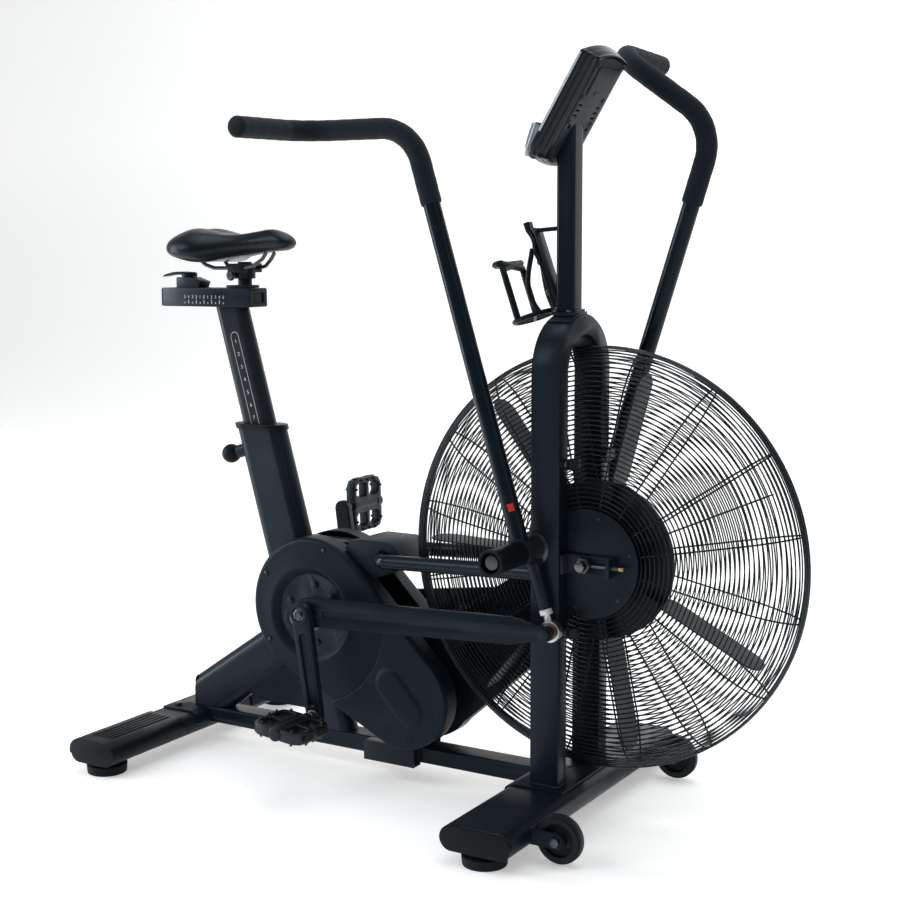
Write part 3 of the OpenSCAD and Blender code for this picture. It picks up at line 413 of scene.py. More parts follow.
def screw(name, at, axis, r, body, kind="pan"):
    """A screw or bolt head standing on a surface at a point. kind is pan, hex or socket."""
    axis = Vector(axis).normalized()
    if kind == "hex":
        side = axis.orthogonal().normalized()
        up = axis.cross(side)
        rows = []
        for q, h, cut in ((1.0, 0, 0), (1.0, 0.62, 0), (0.92, 0.74, 1), (0.55, 0.78, 1), (0.5, 0.66, 1),
                          (0.0, 0.66, 1)):
            row = []
            for t in full_turn(24):
                flat = 0.93 / cos((t % (pi / 3)) - pi / 6) if not cut else 0.93
                row.append(Vector(at) + axis * h * r + (side * cos(t) + up * sin(t)) * r * q * flat)
            rows.append(row)
        socket = [p.lerp(Vector(at) + axis * 0.66 * r, 0.9) for p in rows[-2]]
        verts, faces = skin_rows(rows[:-1] + [socket], caps=True)
        washer = [(1.32, 0), (1.32, 0.14), (1.26, 0.18), (0.7, 0.18), (0.7, 0)]
        rows = [[Vector(at) + axis * h * r + (side * cos(t) + up * sin(t)) * r * q for t in full_turn(24)]
                for q, h in washer]
        return join(name, [(verts, faces), skin_rows(rows, close=True)], body, DARK_BOLT)
    profile = [(1.0, 0), (1.0, 0.12), (0.9, 0.42), (0.72, 0.56), (0.5, 0.60), (0.42, 0.58), (0.36, 0.25),
               (0.02, 0.22)]
    if kind == "socket":
        profile = [(1.0, 0), (1.0, 0.7), (0.94, 0.8), (0.56, 0.8), (0.52, 0.76), (0.5, 0.3), (0.02, 0.3)]
    return lathe(name, [(q * r, h * r) for q, h in profile], at, axis, body, DARK_BOLT, turns=20,
                 full=False)


# ---- modifiers on the CAD's own nodes ----
def shade_group():
    """Geometry nodes that smooth a mesh and keep its edges over 32 degrees sharp."""
    g = bpy.data.node_groups.new("smooth_by_angle", "GeometryNodeTree")
    g.interface.new_socket("Geometry", in_out="INPUT", socket_type="NodeSocketGeometry")
    g.interface.new_socket("Geometry", in_out="OUTPUT", socket_type="NodeSocketGeometry")
    n, link = g.nodes, g.links.new
    start, end = n.new("NodeGroupInput"), n.new("NodeGroupOutput")
    faces = n.new("GeometryNodeSetShadeSmooth")
    edges = n.new("GeometryNodeSetShadeSmooth")
    edges.domain = "EDGE"
    edges.inputs["Shade Smooth"].default_value = False
    turn = n.new("GeometryNodeInputMeshEdgeAngle")
    over = n.new("FunctionNodeCompare")
    over.operation = "GREATER_THAN"
    over.inputs[1].default_value = radians(32)
    link(turn.outputs["Unsigned Angle"], over.inputs[0])
    link(start.outputs[0], faces.inputs["Geometry"])
    link(faces.outputs[0], edges.inputs["Geometry"])
    link(over.outputs[0], edges.inputs["Selection"])
    link(edges.outputs[0], end.inputs[0])
    return g


SHADE = shade_group()


def dress(node, mat, bevel):
    """A better material on a CAD node, its edges rounded by modifiers."""
    o = nodes[node]
    o.data.materials.clear()
    o.data.materials.append(mat)
    weld = o.modifiers.new("weld", "WELD")
    weld.merge_threshold = 1e-5
    if bevel:
        flat = o.modifiers.new("flat", "DECIMATE")
        flat.decimate_type = "DISSOLVE"
        flat.angle_limit = radians(0.5)
        b = o.modifiers.new("edge", "BEVEL")
        b.width = mm(bevel)
        b.segments = 2
        b.limit_method = "ANGLE"
        b.angle_limit = radians(40)
        b.harden_normals = False
    s = o.modifiers.new("shade", "NODES")
    s.node_group = SHADE


PLAIN = {
    "base_beam": (PAINT, 1.2), "front_stabilizer": (PAINT, 0.8), "rear_stabilizer": (PAINT, 0.8),
    "front_caps": (TRIM, 1.6), "feet": (RUBBER, 1.5), "wheel_right": (TYRE, 0.8),
         "wheel_left": (TYRE, 0.8),
    "frame_bolts": (DARK_BOLT, 0.5), "arch_frame": (PAINT, 3.0), "mast": (PAINT_RAIL, 0.0),
         "side_rails": (PAINT_RAIL, 0.0),
    "junction_cover": (COVER, 2.2), "seat_frame": (PAINT, 0.0), "seat_collar": (TRIM, 1.0),
         "pop_pin": (TRIM, 0.6),
    "seat_post": (ALLOY, 0.0), "seat_rail": (PAINT, 1.5), "seat_carriage": (TRIM, 0.8),
         "rail_lever": (TRIM, 1.2),
    "saddle_clamp": (TRIM, 1.0), "saddle_base": (TRIM, 0.8), "crank_axle": (DARK_BOLT, 0.6),
         "drive_pulley": (PULLEY, 0.8),
    "crank_web_right": (PAINT, 0.8), "crank_web_left": (PAINT, 0.8), "crank_arm_right": (PAINT, 1.5),
    "crank_arm_left": (PAINT, 1.5), "link_right": (PAINT, 1.2), "link_left": (PAINT, 1.2),
         "pivot_studs": (DARK_BOLT, 0.6),
    "foot_pegs": (TRIM, 1.2), "handle_right": (PAINT_RAIL, 0.0), "handle_left": (PAINT_RAIL, 0.0),
    "rod_end_right": (ZINC, 0.6), "rod_end_left": (ZINC, 0.6), "fan_axle": (GREY_BOLT, 0.5),
         "axle_brackets": (PAINT, 0.8),
    "fan_wheel": (BLADE, 0.0), "fan_pulley": (STEEL, 0.5), "jackshaft": (STEEL, 0.6),
         "belts": (BELT, 0.0),
    # console_tray in pale silver is a painted reflection on the console's glossy lower end
    "bottle_bracket": (PAINT, 0.5), "console_screen": (LENS, 0.8), "console_tray": (HIGHLIGHT_SILVER, 0.6),
    "left_cover": (COVER, 2.0), "belt_cover": (COVER, 2.0), "cover_screws": (DARK_BOLT, 0.4),
    "rear_boots": (TRIM, 1.0),
    "right_cover": (COVER, 2.0), "access_panel": (COVER, 1.4), "console_housing": (GLOSS, 1.5),
         "console_back": (BACKPLATE, 0.6),
    "pedal_right": (PEDAL, 0.8), "pedal_left": (PEDAL, 0.8), "bottle_cage": (TRIM, 0.8),
    "cage_right": (WIRE, 0.0), "cage_left": (WIRE, 0.0), "grip_right": (FOAM, 0.0),
         "grip_left": (FOAM, 0.0),
    "saddle": (VINYL, 0.0),
}
for node, (mat, bevel) in PLAIN.items():
    dress(node, mat, bevel)


# ---- floor, light and camera ----
def studio():
    mesh = bpy.data.meshes.new("floor")
    rows = []
    for x in (-9.0, 9.0):
        rows.append([(x, -6.0, 0), (x, 3.4, 0)] + [
            (x, 3.4 + 1.6 * sin(radians(t)), 1.6 - 1.6 * cos(radians(t)))
            for t in range(10, 91, 10)] + [(x, 5.0, 7.0)])
    verts, faces = skin_rows(rows, ring=False)
    mesh.from_pydata(verts, [], faces)
    floor = bpy.data.objects.new("floor", mesh)
    bpy.context.scene.collection.objects.link(floor)
    for p in mesh.polygons:
        p.use_smooth = True
    m = bpy.data.materials.new("studio_paper")
    m.use_nodes = True
    s = m.node_tree.nodes["Principled BSDF"]
    s.inputs["Base Color"].default_value = (0.96, 0.94, 0.92, 1)
    s.inputs["Roughness"].default_value = 0.85
    s.inputs["Specular IOR Level"].default_value = 0.1
    s.inputs["Emission Color"].default_value = (1.0, 0.99, 0.98, 1)
    s.inputs["Emission Strength"].default_value = 0.36
    mesh.materials.append(m)


def area(name, at, to, size, power):
    light = bpy.data.lights.new(name, "AREA")
    light.shape = "RECTANGLE"
    light.size, light.size_y = size
    light.energy = power
    light.color = DAYLIGHT
    o = bpy.data.objects.new(name, light)
    bpy.context.scene.collection.objects.link(o)
    o.location = at
    o.rotation_euler = (Vector(to) - Vector(at)).to_track_quat("-Z", "Y").to_euler()


def light_and_camera():
    scene = bpy.context.scene
    world = bpy.data.worlds.new("studio")
    world.use_nodes = True
    world.node_tree.nodes["Background"].inputs[0].default_value = (0.86, 0.93, 1.0, 1)
    world.node_tree.nodes["Background"].inputs[1].default_value = 0.36
    scene.world = world
    scene.view_settings.view_transform = "Standard"
    area("key", (-1.9, -2.6, 2.6), (0, 0, 0.55), (1.3, 2.0), 36)
    area("strip_left", (-3.3, -1.3, 1.2), (0, 0, 0.7), (0.5, 2.4), 56)
    area("fill_right", (2.9, -0.6, 1.8), (0.1, 0, 0.6), (0.4, 2.2), 4)
    area("top", (0.2, 0.4, 3.4), (0, 0, 0.5), (2.6, 2.2), 42)
    area("backdrop", (0.0, 2.0, 3.6), (0, 4.8, 1.4), (5.0, 0.8), 60)
    cam = bpy.data.cameras.new("camera")
    cam.sensor_width = 36.0
    cam.lens = CAMERA_LENS
    o = bpy.data.objects.new("camera", cam)
    scene.collection.objects.link(o)
    o.location = mm(CAMERA_AT)
    turn = Matrix.Rotation(radians(CAMERA_YAW), 4, "Z") @ Matrix.Rotation(radians(90 - CAMERA_DOWN), 4,
        "X")
    o.rotation_euler = (turn @ Matrix.Rotation(radians(CAMERA_ROLL), 4, "Z")).to_euler()
    scene.camera = o


studio()
light_and_camera()


# ---- fan guard ----
RING_STEP = 7.6
SIDE_RING_R = 337.6
DOME_FROM, DOME_REACH = 250.0, 90.0
RIB_RADII = (80, 110, 150, 200, 240, 262, 282, 300, 314, 324, 331, 335.6)


def guard(name, node, side, face_y):
    """One wire half of the guard: fine concentric rings, radial ribs behind them and a deep rim."""
    depth = face_y - CAGE_MID
    wires, r = [], 90.0

    def dome(radius):
        if radius < DOME_FROM:
            return face_y
        return CAGE_MID + depth * sqrt(max(0.0, 1 - ((radius - DOME_FROM) / DOME_REACH) ** 2))
    while r < 334:
        wires.append(wire(circle_y(FAN, dome(r), r, GUARD_STEPS), 1.25, 6, closed=True))
        r += RING_STEP if r < 318 else 4.6
    for k in range(1, 5):
        y = CAGE_MID + (dome(334) - CAGE_MID) * k / 5.0
        wires.append(wire(circle_y(FAN, y, SIDE_RING_R, GUARD_STEPS), 1.25, 6, closed=True))
    wires.append(wire(circle_y(FAN, CAGE_MID + side * 2.7, CAGE_R - 2.6, GUARD_STEPS), 2.5, 8,
                      closed=True))
    for k in range(16):
        a = 2 * pi * (k + 0.5) / 16
        pts = []
        for radius in RIB_RADII:
            y = dome(radius) - side * 2.2
            pts.append((FAN[0] + radius * cos(a), y, FAN[1] + radius * sin(a)))
        pts.append((FAN[0] + 336.2 * cos(a), CAGE_MID + side * 2.0, FAN[1] + 336.2 * sin(a)))
        wires.append(wire(pts, 1.5, 6))
    g = join(name, wires, "frame", WIRE, angle=60)
    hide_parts(node)


guard("guard_right", "cage_right", -1, CAGE_NEAR)
guard("guard_left", "cage_left", 1, CAGE_FAR)


def guard_hub(name, y, side, bore):
    """The pressed disc in the middle of a guard half."""
    profile = [(bore, 0), (60, 0), (64, 1.5), (70, 1.5), (80, 0.2), (84.5, -0.6), (86.5, 0.4),
               (86.5, 2.2), (84, 2.8), (70, 3.2), (bore, 3.2)]
    lathe(name, [(r, -h) for r, h in profile], (FAN[0], y, FAN[1]), (0, -side, 0), "frame", PAINT,
          turns=72)


guard_hub("guard_disc_right", CAGE_NEAR - 2.4, -1, 17)
guard_hub("guard_disc_left", CAGE_FAR + 1.2, 1, 32)
for k in range(6):
    a = radians(60 * k + 15)
    at = (FAN[0] + 74 * cos(a), CAGE_NEAR - 3.4, FAN[1] + 74 * sin(a))
    screw(f"guard_screw_{k}", at, (0, -1, 0), 3.6, "frame")


def guard_clip(name, z):
    """A folded strap that clamps the guard's wires to the leg."""
    for s in (-1, 1):
        y = s * LEG_Y
        reach = 16 if s < 0 else 40
        pts = [(LEG_X[1] + 3.2, y), (LEG_X[1] + 14, y), (LEG_X[1] + 20, y - s * 8),
               (LEG_X[1] + 20, y - s * reach)]
        rows = []
        for x, yy in pts:
            rows.append([(x - 1.2, yy - 1, z - 8), (x + 1.2, yy + 1, z - 8), (x + 1.2, yy + 1, z + 8),
                         (x - 1.2, yy - 1, z + 8)])
        join(f"{name}_{side_name(s)[0]}", [skin_rows(rows, caps=True)], "frame", PAINT,
             bevel=0.5)


guard_clip("guard_clip_low", 316)
guard_clip("guard_clip_high", 586)


# ---- covers ----
def capsule(c0, r0, c1, r1):
    """Signed test of the outline round two circles: negative inside."""
    def f(x, z):
        t = np.linspace(0, 1, 61)
        cx = c0[0] + (c1[0] - c0[0]) * t
        cz = c0[1] + (c1[1] - c0[1]) * t
        return float(np.min(np.hypot(x - cx, z - cz) - (r0 + (r1 - r0) * t)))
    return f


def ray_out(f, centre, angle, inset):
    """Distance from centre to where f reaches -inset, along an angle."""
    lo, hi = 0.0, FAR_OUT
    for _ in range(26):
        mid = (lo + hi) / 2
        if f(centre[0] + mid * cos(angle), centre[1] + mid * sin(angle)) < -inset:
            lo = mid
        else:
            hi = mid
    return lo


def star_shell(name, centre, f, rows, node=None, count=144, close=True):
    """A closed shell swept round a centre. A row is (inset from the outline, y) or ("r", radius, y)."""
    angles = full_turn(count)
    cache = {}
    loops = []
    for row in rows:
        if row[0] == "r":
            dist = [row[1]] * count
            y = row[2]
        else:
            if row[0] not in cache:
                cache[row[0]] = [ray_out(f, centre, a, row[0]) for a in angles]
            dist, y = cache[row[0]], row[1]
        loops.append([(centre[0] + d * cos(a), y, centre[1] + d * sin(a)) for d, a in zip(dist, angles)])
    verts, faces = skin_rows(loops, close=close, caps=not close)
    o = add(name, from_lists(name, verts, faces), "frame", COVER, angle=28)
    if node:
        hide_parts(node)


def round_rows(inset, radius, y_side, y_face, steps):
    """Rows of a rounded edge from the side wall, at inset, to the face."""
    out = -1 if y_face < y_side else 1
    rows = []
    for k in range(steps + 1):
        t = pi / 2 * k / steps
        rows.append((inset + radius * (1 - cos(t)), y_face - out * radius * (1 - sin(t))))
    return rows


MAIN = capsule(LOBE, LOBE_R, JACK, LOBE2_R)
OUT = -COVER_OUT
cover_rows = [(2.6, -COVER_IN), (0.0, -COVER_IN)] + round_rows(0.0, 9.0, -COVER_IN, OUT, 7)
cover_rows += [("r", 88.0, OUT), ("r", 85.5, OUT - 0.8), ("r", 83.0, OUT - 0.4), ("r", 80.0, OUT + 1.2),
               ("r", 72.5, OUT + 9.0), ("r", 70.6, OUT + 10.6), ("r", 70.2, OUT + 13.0),
               ("r", 72.0, OUT + 13.4), ("r", 84.0, OUT + 3.0), ("r", 92.0, OUT + 2.6),
               (11.0, OUT + 2.6), (2.6, OUT + 10.0)]
star_shell("cover_right", CRANK, MAIN, cover_rows, "right_cover")


def panel_shape(x, z):
    return max(MAIN(x, z) + 1.0, 156.0 - hypot(x - CRANK[0], z - CRANK[1]))


PANEL_C = (-70.0, 150.0)
BOSS_C = (-68.0, 160.0)
panel_rows = [(0.0, OUT - 0.1), (0.0, OUT - 1.6)] + round_rows(0.0, 2.0, OUT, OUT - 3.4, 4)
panel_rows += [(8.0, OUT - 3.45), ("r", 20.0, OUT - 3.5), ("r", 2.0, OUT - 3.5), ("r", 2.0, OUT - 0.1),
               ("r", 20.0, OUT - 0.1)]
star_shell("access_panel_skin", PANEL_C, panel_shape, panel_rows, "access_panel", count=180)
PILL = capsule((-88, 182), 26, (-48, 138), 26)
pill_rows = [(-4.0, OUT - 3.3), (-2.0, OUT - 3.7), (0.0, OUT - 4.6), (1.5, OUT - 6.2), (4.0, OUT - 7.5),
             (7.5, OUT - 7.95), (14.0, OUT - 8.0), ("r", 3.0, OUT - 8.0)]
star_shell("access_panel_boss", BOSS_C, PILL, pill_rows, close=False)
for k, p in enumerate(((-46, 91), (-93, 99), (-8, 140))):
    lathe(f"panel_screw_well_{k}", [(7.4, 3.2), (7.0, 3.9), (6.0, 3.9), (5.0, 1.2), (4.6, 0.6),
                                    (0.8, 0.6), (0.8, 0.2), (7.4, 0.2)], (p[0], OUT, p[1]), (0, -1, 0),
          "frame", TRIM, turns=28)
    screw(f"panel_screw_{k}", (p[0], OUT - 0.9, p[1]), (0, -1, 0), 3.6, "frame")
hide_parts("cover_screws")
for k, a in enumerate((75, 150, 215)):
    t = radians(a)
    at = (LOBE[0] + 112 * cos(t), OUT, LOBE[1] + 112 * sin(t))
    lathe(f"cover_screw_well_{k}", [(6.6, 0.0), (6.2, 0.5), (5.2, 0.4), (4.4, -0.6), (0.6, -0.6),
                                    (0.6, -0.9), (6.6, -0.9)], at, (0, -1, 0), "frame", TRIM,
          turns=28)
    screw(f"cover_screw_{k}", (at[0], OUT - 0.2, at[2]), (0, -1, 0), 3.4, "frame")
# the raised seam that runs down the cover's rear side, between its two mouldings
seam = [(CRANK[0] + 157.5 * cos(radians(a)), OUT - 0.2, CRANK[1] + 157.5 * sin(radians(a)))
        for a in range(-70, -19, 3)]
seam = [p for p in seam if MAIN(p[0], p[2]) < -3]
join("cover_seam", [wire(seam, 0.9, 6)], "frame", TRIM)

left_rows = [(2.6, COVER_IN), (0.0, COVER_IN)] + round_rows(0.0, 9.0, COVER_IN, COVER_OUT, 6)
left_rows += [("r", 50.0, COVER_OUT), ("r", 34.0, COVER_OUT), ("r", 30.0, COVER_OUT - 2.0),
              ("r", 26.0, COVER_OUT - 2.4), ("r", 24.4, COVER_OUT - 3.0), ("r", 24.4, COVER_OUT - 5.0),
              ("r", 50.0, COVER_OUT - 2.6), (11.0, COVER_OUT - 2.6), (2.6, COVER_OUT - 10)]
star_shell("cover_left", CRANK, MAIN, left_rows, "left_cover")


# ---- pedals ----
def pedal(side, tilt):
    """A moulded platform pedal: windowed body, barrel, pins and end cap."""
    tag = side_name(side)
    at = (CRANK[0] - side * CRANK_R * cos(CRANK_A), side * PEDAL_Y,
          CRANK[1] - side * CRANK_R * sin(CRANK_A))
    t = radians(tilt)
    fore = (cos(t), 0, -sin(t))
    place = frame_at(at, fore, (0, 1, 0))
    outline = [(-51, -22), (-47, -38), (-36, -45), (-12, -46), (0, -41), (12, -46), (36, -45), (47, -38),
               (51, -22), (50, 0), (51, 22), (47, 38), (36, 45), (12, 46), (0, 41), (-12, 46), (-36, 45),
               (-47, 38), (-51, 22), (-50, 0)]
    window = ((15, 5), (38, 4), (42, 9), (42, 28), (36, 36), (21, 37), (15, 31))
    holes = []
    for k in (-1, 1):
        for j in (-1, 1):
            holes.append([(k * x, j * y) for x, y in window])
    body = plate(f"pedal_body_{tag}", [outline] + holes, 19, place, f"{tag}_pedal", PEDAL,
                 bevel=1.6)
    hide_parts(f"pedal_{tag}")
    parts = []

    def put(points):
        return [tuple((place @ mm(p)) * 1000) for p in points]
    # raised treads on both faces
    for face in (-1, 1):
        for k in (-1, 1):
            for y in (-41, -20.5, 0, 20.5, 41):
                x = k * 46.5 if abs(y) < 30 else k * 31
                z = face * 9.3
                rows = []
                for q, h in ((3.4, -1), (3.2, 1.6), (2.2, 2.4), (1.9, 4.2), (1.2, 4.6)):
                    rows.append(put([(x + q * cos(a), y * 0.98 + q * sin(a), z + face * h)
                                     for a in full_turn(10)]))
                parts.append(skin_rows(rows, caps=True))
    join(f"pedal_pins_{tag}", parts, f"{tag}_pedal", PEDAL)
    lathe(f"pedal_barrel_{tag}", [(7.1, -46), (12.2, -46), (12.8, -45), (12.8, -34), (11.2, -32),
                                  (11.2, 30), (12.8, 32), (12.8, 43), (11.5, 45), (7.1, 45)], at,
          (0, side, 0), f"{tag}_pedal", PEDAL, turns=32)
    lathe(f"pedal_cap_{tag}", [(12.0, 44.6), (12.0, 46.5), (10.5, 47.6), (6, 48), (0.4, 48), (0.4, 46),
                               (8, 45)], at, (0, side, 0), f"{tag}_pedal", ALLOY, turns=32)
    for j in (-1, 1):
        for k in (-1, 1):
            rows = []
            for dy in (0.0, 1.2):
                rows.append(put([(k * (50.6 + dy) - k * 0.6, j * 20 + a, b)
                                 for a, b in rounded(26, 10, 3, 3)]))
            join(f"pedal_reflector_{tag}_{'f' if k > 0 else 'b'}{'o' if j > 0 else 'i'}",
                 [skin_rows(rows, caps=True)], f"{tag}_pedal", TRIM)


pedal(-1, 6)
pedal(1, 88)


# ---- foam grips ----
def link_pin(side):
    """Where a link turns on its crank pin."""
    return CRANK[0] - side * THROW * cos(THROW_A), CRANK[1] - side * THROW * sin(THROW_A)


def handle_lean(side):
    """Lean of a handle at rest, in degrees, forward positive: its rod end lies a link's length from
    the crank pin."""
    px, pz = link_pin(side)
    gap = hypot(PIVOT[0] - px, PIVOT[1] - pz)
    cut = (ROD_R ** 2 + gap ** 2 - LINK_L ** 2) / (2 * ROD_R * gap)
    turn = atan2(pz - PIVOT[1], px - PIVOT[0]) + acos(cut)
    return -(degrees(turn) + 90)


def handle_points(side):
    """Corner points of a handle's centre line."""
    lean = radians(handle_lean(side))
    raw = [(0, side * ARM_Y, 0), (0, side * (ARM_Y - ARM_IN), ARM_L),
           (-202, side * (ARM_Y - ARM_IN - 3), ARM_L + 66), (-199, side * 290, ARM_L + 61)]
    out = []
    for x, y, z in raw:
        out.append(Vector((PIVOT[0] + x * cos(lean) + z * sin(lean), y,
                           PIVOT[1] - x * sin(lean) + z * cos(lean))))
    return out


def filleted(points, radii):
    """Points along a polyline whose corners are arcs, a few millimetres apart."""
    out = [points[0]]
    for i in range(1, len(points) - 1):
        p, r = points[i], radii[i - 1]
        u = (p - points[i - 1]).normalized()
        v = (points[i + 1] - p).normalized()
        turn = u.angle(v)
        t = r * tan(turn / 2)
        a = p - u * t
        centre = a + (v - u * u.dot(v)).normalized() * r
        count = max(3, int(r * turn / PATH_STEP))
        for k in range(count + 1):
            # walk the arc by turning the first radius towards v
            w = turn * k / count
            arm = (a - centre) * cos(w) + u * r * sin(w)
            out.append(centre + arm)
    out.append(points[-1])
    dense = []
    for p, q in zip(out, out[1:]):
        n = max(1, int((q - p).length / PATH_STEP))
        dense += [p.lerp(q, k / n) for k in range(n)]
    return dense + [out[-1]]


def grip(side):
    tag = side_name(side)
    line = filleted(handle_points(side), BEND_R)
    along = [0.0]
    for p, q in zip(line, line[1:]):
        along.append(along[-1] + (q - p).length)
    total = along[-1]
    rows, normal = [], None
    first = GRIP_FROM
    picked = [(p, s) for p, s in zip(line, along) if s > first]
    end_dir = (line[-1] - line[-2]).normalized()
    pts = [p for p, s in picked] + [line[-1] + end_dir * 4]
    lens = [s - first for p, s in picked] + [total - first + 4]
    rim = lens[-1]
    sides = 28
    for i, p in enumerate(pts):
        d = (pts[min(i + 1, len(pts) - 1)] - pts[max(i - 1, 0)]).normalized()
        if normal is None:
            normal = d.orthogonal().normalized()
        normal = (normal - d * normal.dot(d)).normalized()
        cross = d.cross(normal)
        s = lens[i]
        fall = min(s, rim - s)
        r = GRIP_R - (2.2 if fall < 1 else 0.9 if fall < 4 else 0.0)
        r += 0.16 * sin(s * 0.21) + 0.10 * sin(s * 0.53 + side)
        rows.append([p + (normal * cos(t) + cross * sin(t)) * r for t in full_turn(sides)])
    verts, faces = skin_rows(rows, caps=True)
    g = add(f"foam_grip_{tag}", from_lists(f"foam_grip_{tag}", verts, faces), f"{tag}_handle", FOAM,
            angle=50)
    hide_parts(f"grip_{tag}")
    # the plastic bung in the end of the tube
    lathe(f"grip_bung_{tag}", [(0.3, 0), (13.5, 0), (13.9, 0.8), (13.4, 1.8), (9, 2.4), (0.3, 2.5)],
          pts[-1] - end_dir * 0.3, end_dir, f"{tag}_handle", TRIM, turns=28)


for side in (-1, 1):
    grip(side)


# ---- console ----
TILT = radians(58.4)
CON_O = Vector((174.4, 0, 1062.6))
CON_A = Vector((cos(TILT), 0, sin(TILT)))
CON_N = Vector((-sin(TILT), 0, cos(TILT)))


def con(a, y, n):
    """A console point: a up the display, y across, n out of the display face towards the rider."""
    return CON_O + CON_A * a + Vector((0, y, 0)) + CON_N * n


def bowed(a0, a1, half, bow, r0, r1):
    """Outline of the console with bowed ends, counted the same for any size."""
    pts = []
    for k in range(END_STEPS + 1):
        t = -1 + 2 * k / END_STEPS
        pts.append((a0 - bow * (1 - t * t), t * (half - r0)))
    for k in range(1, 7):
        w = radians(90 * k / 6)
        pts.append((a0 + r0 - r0 * cos(w), half - r0 + r0 * sin(w)))
    for k in range(1, 12):
        pts.append((a0 + r0 + (a1 - r1 - a0 - r0) * k / 12, half))
    for k in range(0, 7):
        w = radians(90 * k / 6)
        pts.append((a1 - r1 + r1 * sin(w), half - r1 + r1 * cos(w)))
    for k in range(1, END_STEPS):
        t = 1 - 2 * k / END_STEPS
        pts.append((a1 + bow * (1 - t * t), t * (half - r1)))
    for k in range(0, 7):
        w = radians(90 * (6 - k) / 6)
        pts.append((a1 - r1 + r1 * sin(w), -(half - r1 + r1 * cos(w))))
    for k in range(1, 12):
        pts.append((a1 - r1 + (a0 + r0 - a1 + r1) * k / 12, -half))
    for k in range(0, 6):
        w = radians(90 * (6 - k) / 6)
        pts.append((a0 + r0 - r0 * cos(w), -(half - r0 + r0 * sin(w))))
    return pts


def tray():
    """A thin clear ledge that curves out from under the display, with its two side walls."""
    line = ((-2.0, -6.0), (-0.5, 0.0), (3.0, 7.5), (9.0, 12.5), (18.0, 15.5), (32.0, 18.5), (46.0, 21.0))
    rows = []
    for k in range(25):
        y = -58 + 116 * k / 24
        pull = 3.0 * (abs(y) / 58) ** 6
        out = [con(a + pull * 0.4, y, n - pull) for a, n in line]
        back = [con(a + 1.4, y, n - 1.8 - pull) for a, n in line[::-1]]
        rows.append(out + back)
    parts = [skin_rows(rows, caps=True)]
    for s in (-1, 1):
        rows = []
        for a, n in line[1:]:
            rows.append([con(a + 1, s * 57.0, n - 2.6), con(a + 1, s * 59.0, n - 2.6),
                         con(a + 4, s * 59.4, 0.6), con(a + 4, s * 57.4, 0.6)])
        parts.append(skin_rows(rows, caps=True))
    join("tray_shell", parts, "frame", CLEAR, angle=50)
    top_a, top_n = line[-1]
    rim = []
    for k in range(31):
        y = -59 + 118 * k / 30
        rim.append(con(top_a + 0.6, y, top_n - 0.8 - 3.0 * (abs(y) / 59) ** 6))
    edge = [con(a + 1, -59.2, n - 2.0) for a, n in line]
    other = [con(a + 1, 59.2, n - 2.0) for a, n in line[::-1]]
    # the rim's pale silver is a painted highlight along the clear ledge's edge
    join("tray_rim", [wire(edge + rim + other, 1.0, 8)], "frame", HIGHLIGHT_SILVER, angle=60)


def patch():
    """A small blank label near the top right of the back plate."""
    at = frame_at(con(170, -38, -24.9), CON_A, (0, 1, 0))
    plate("blank_label", [rounded(9, 8, 1)], 0.5, at, "frame", INK, bevel=0.15)


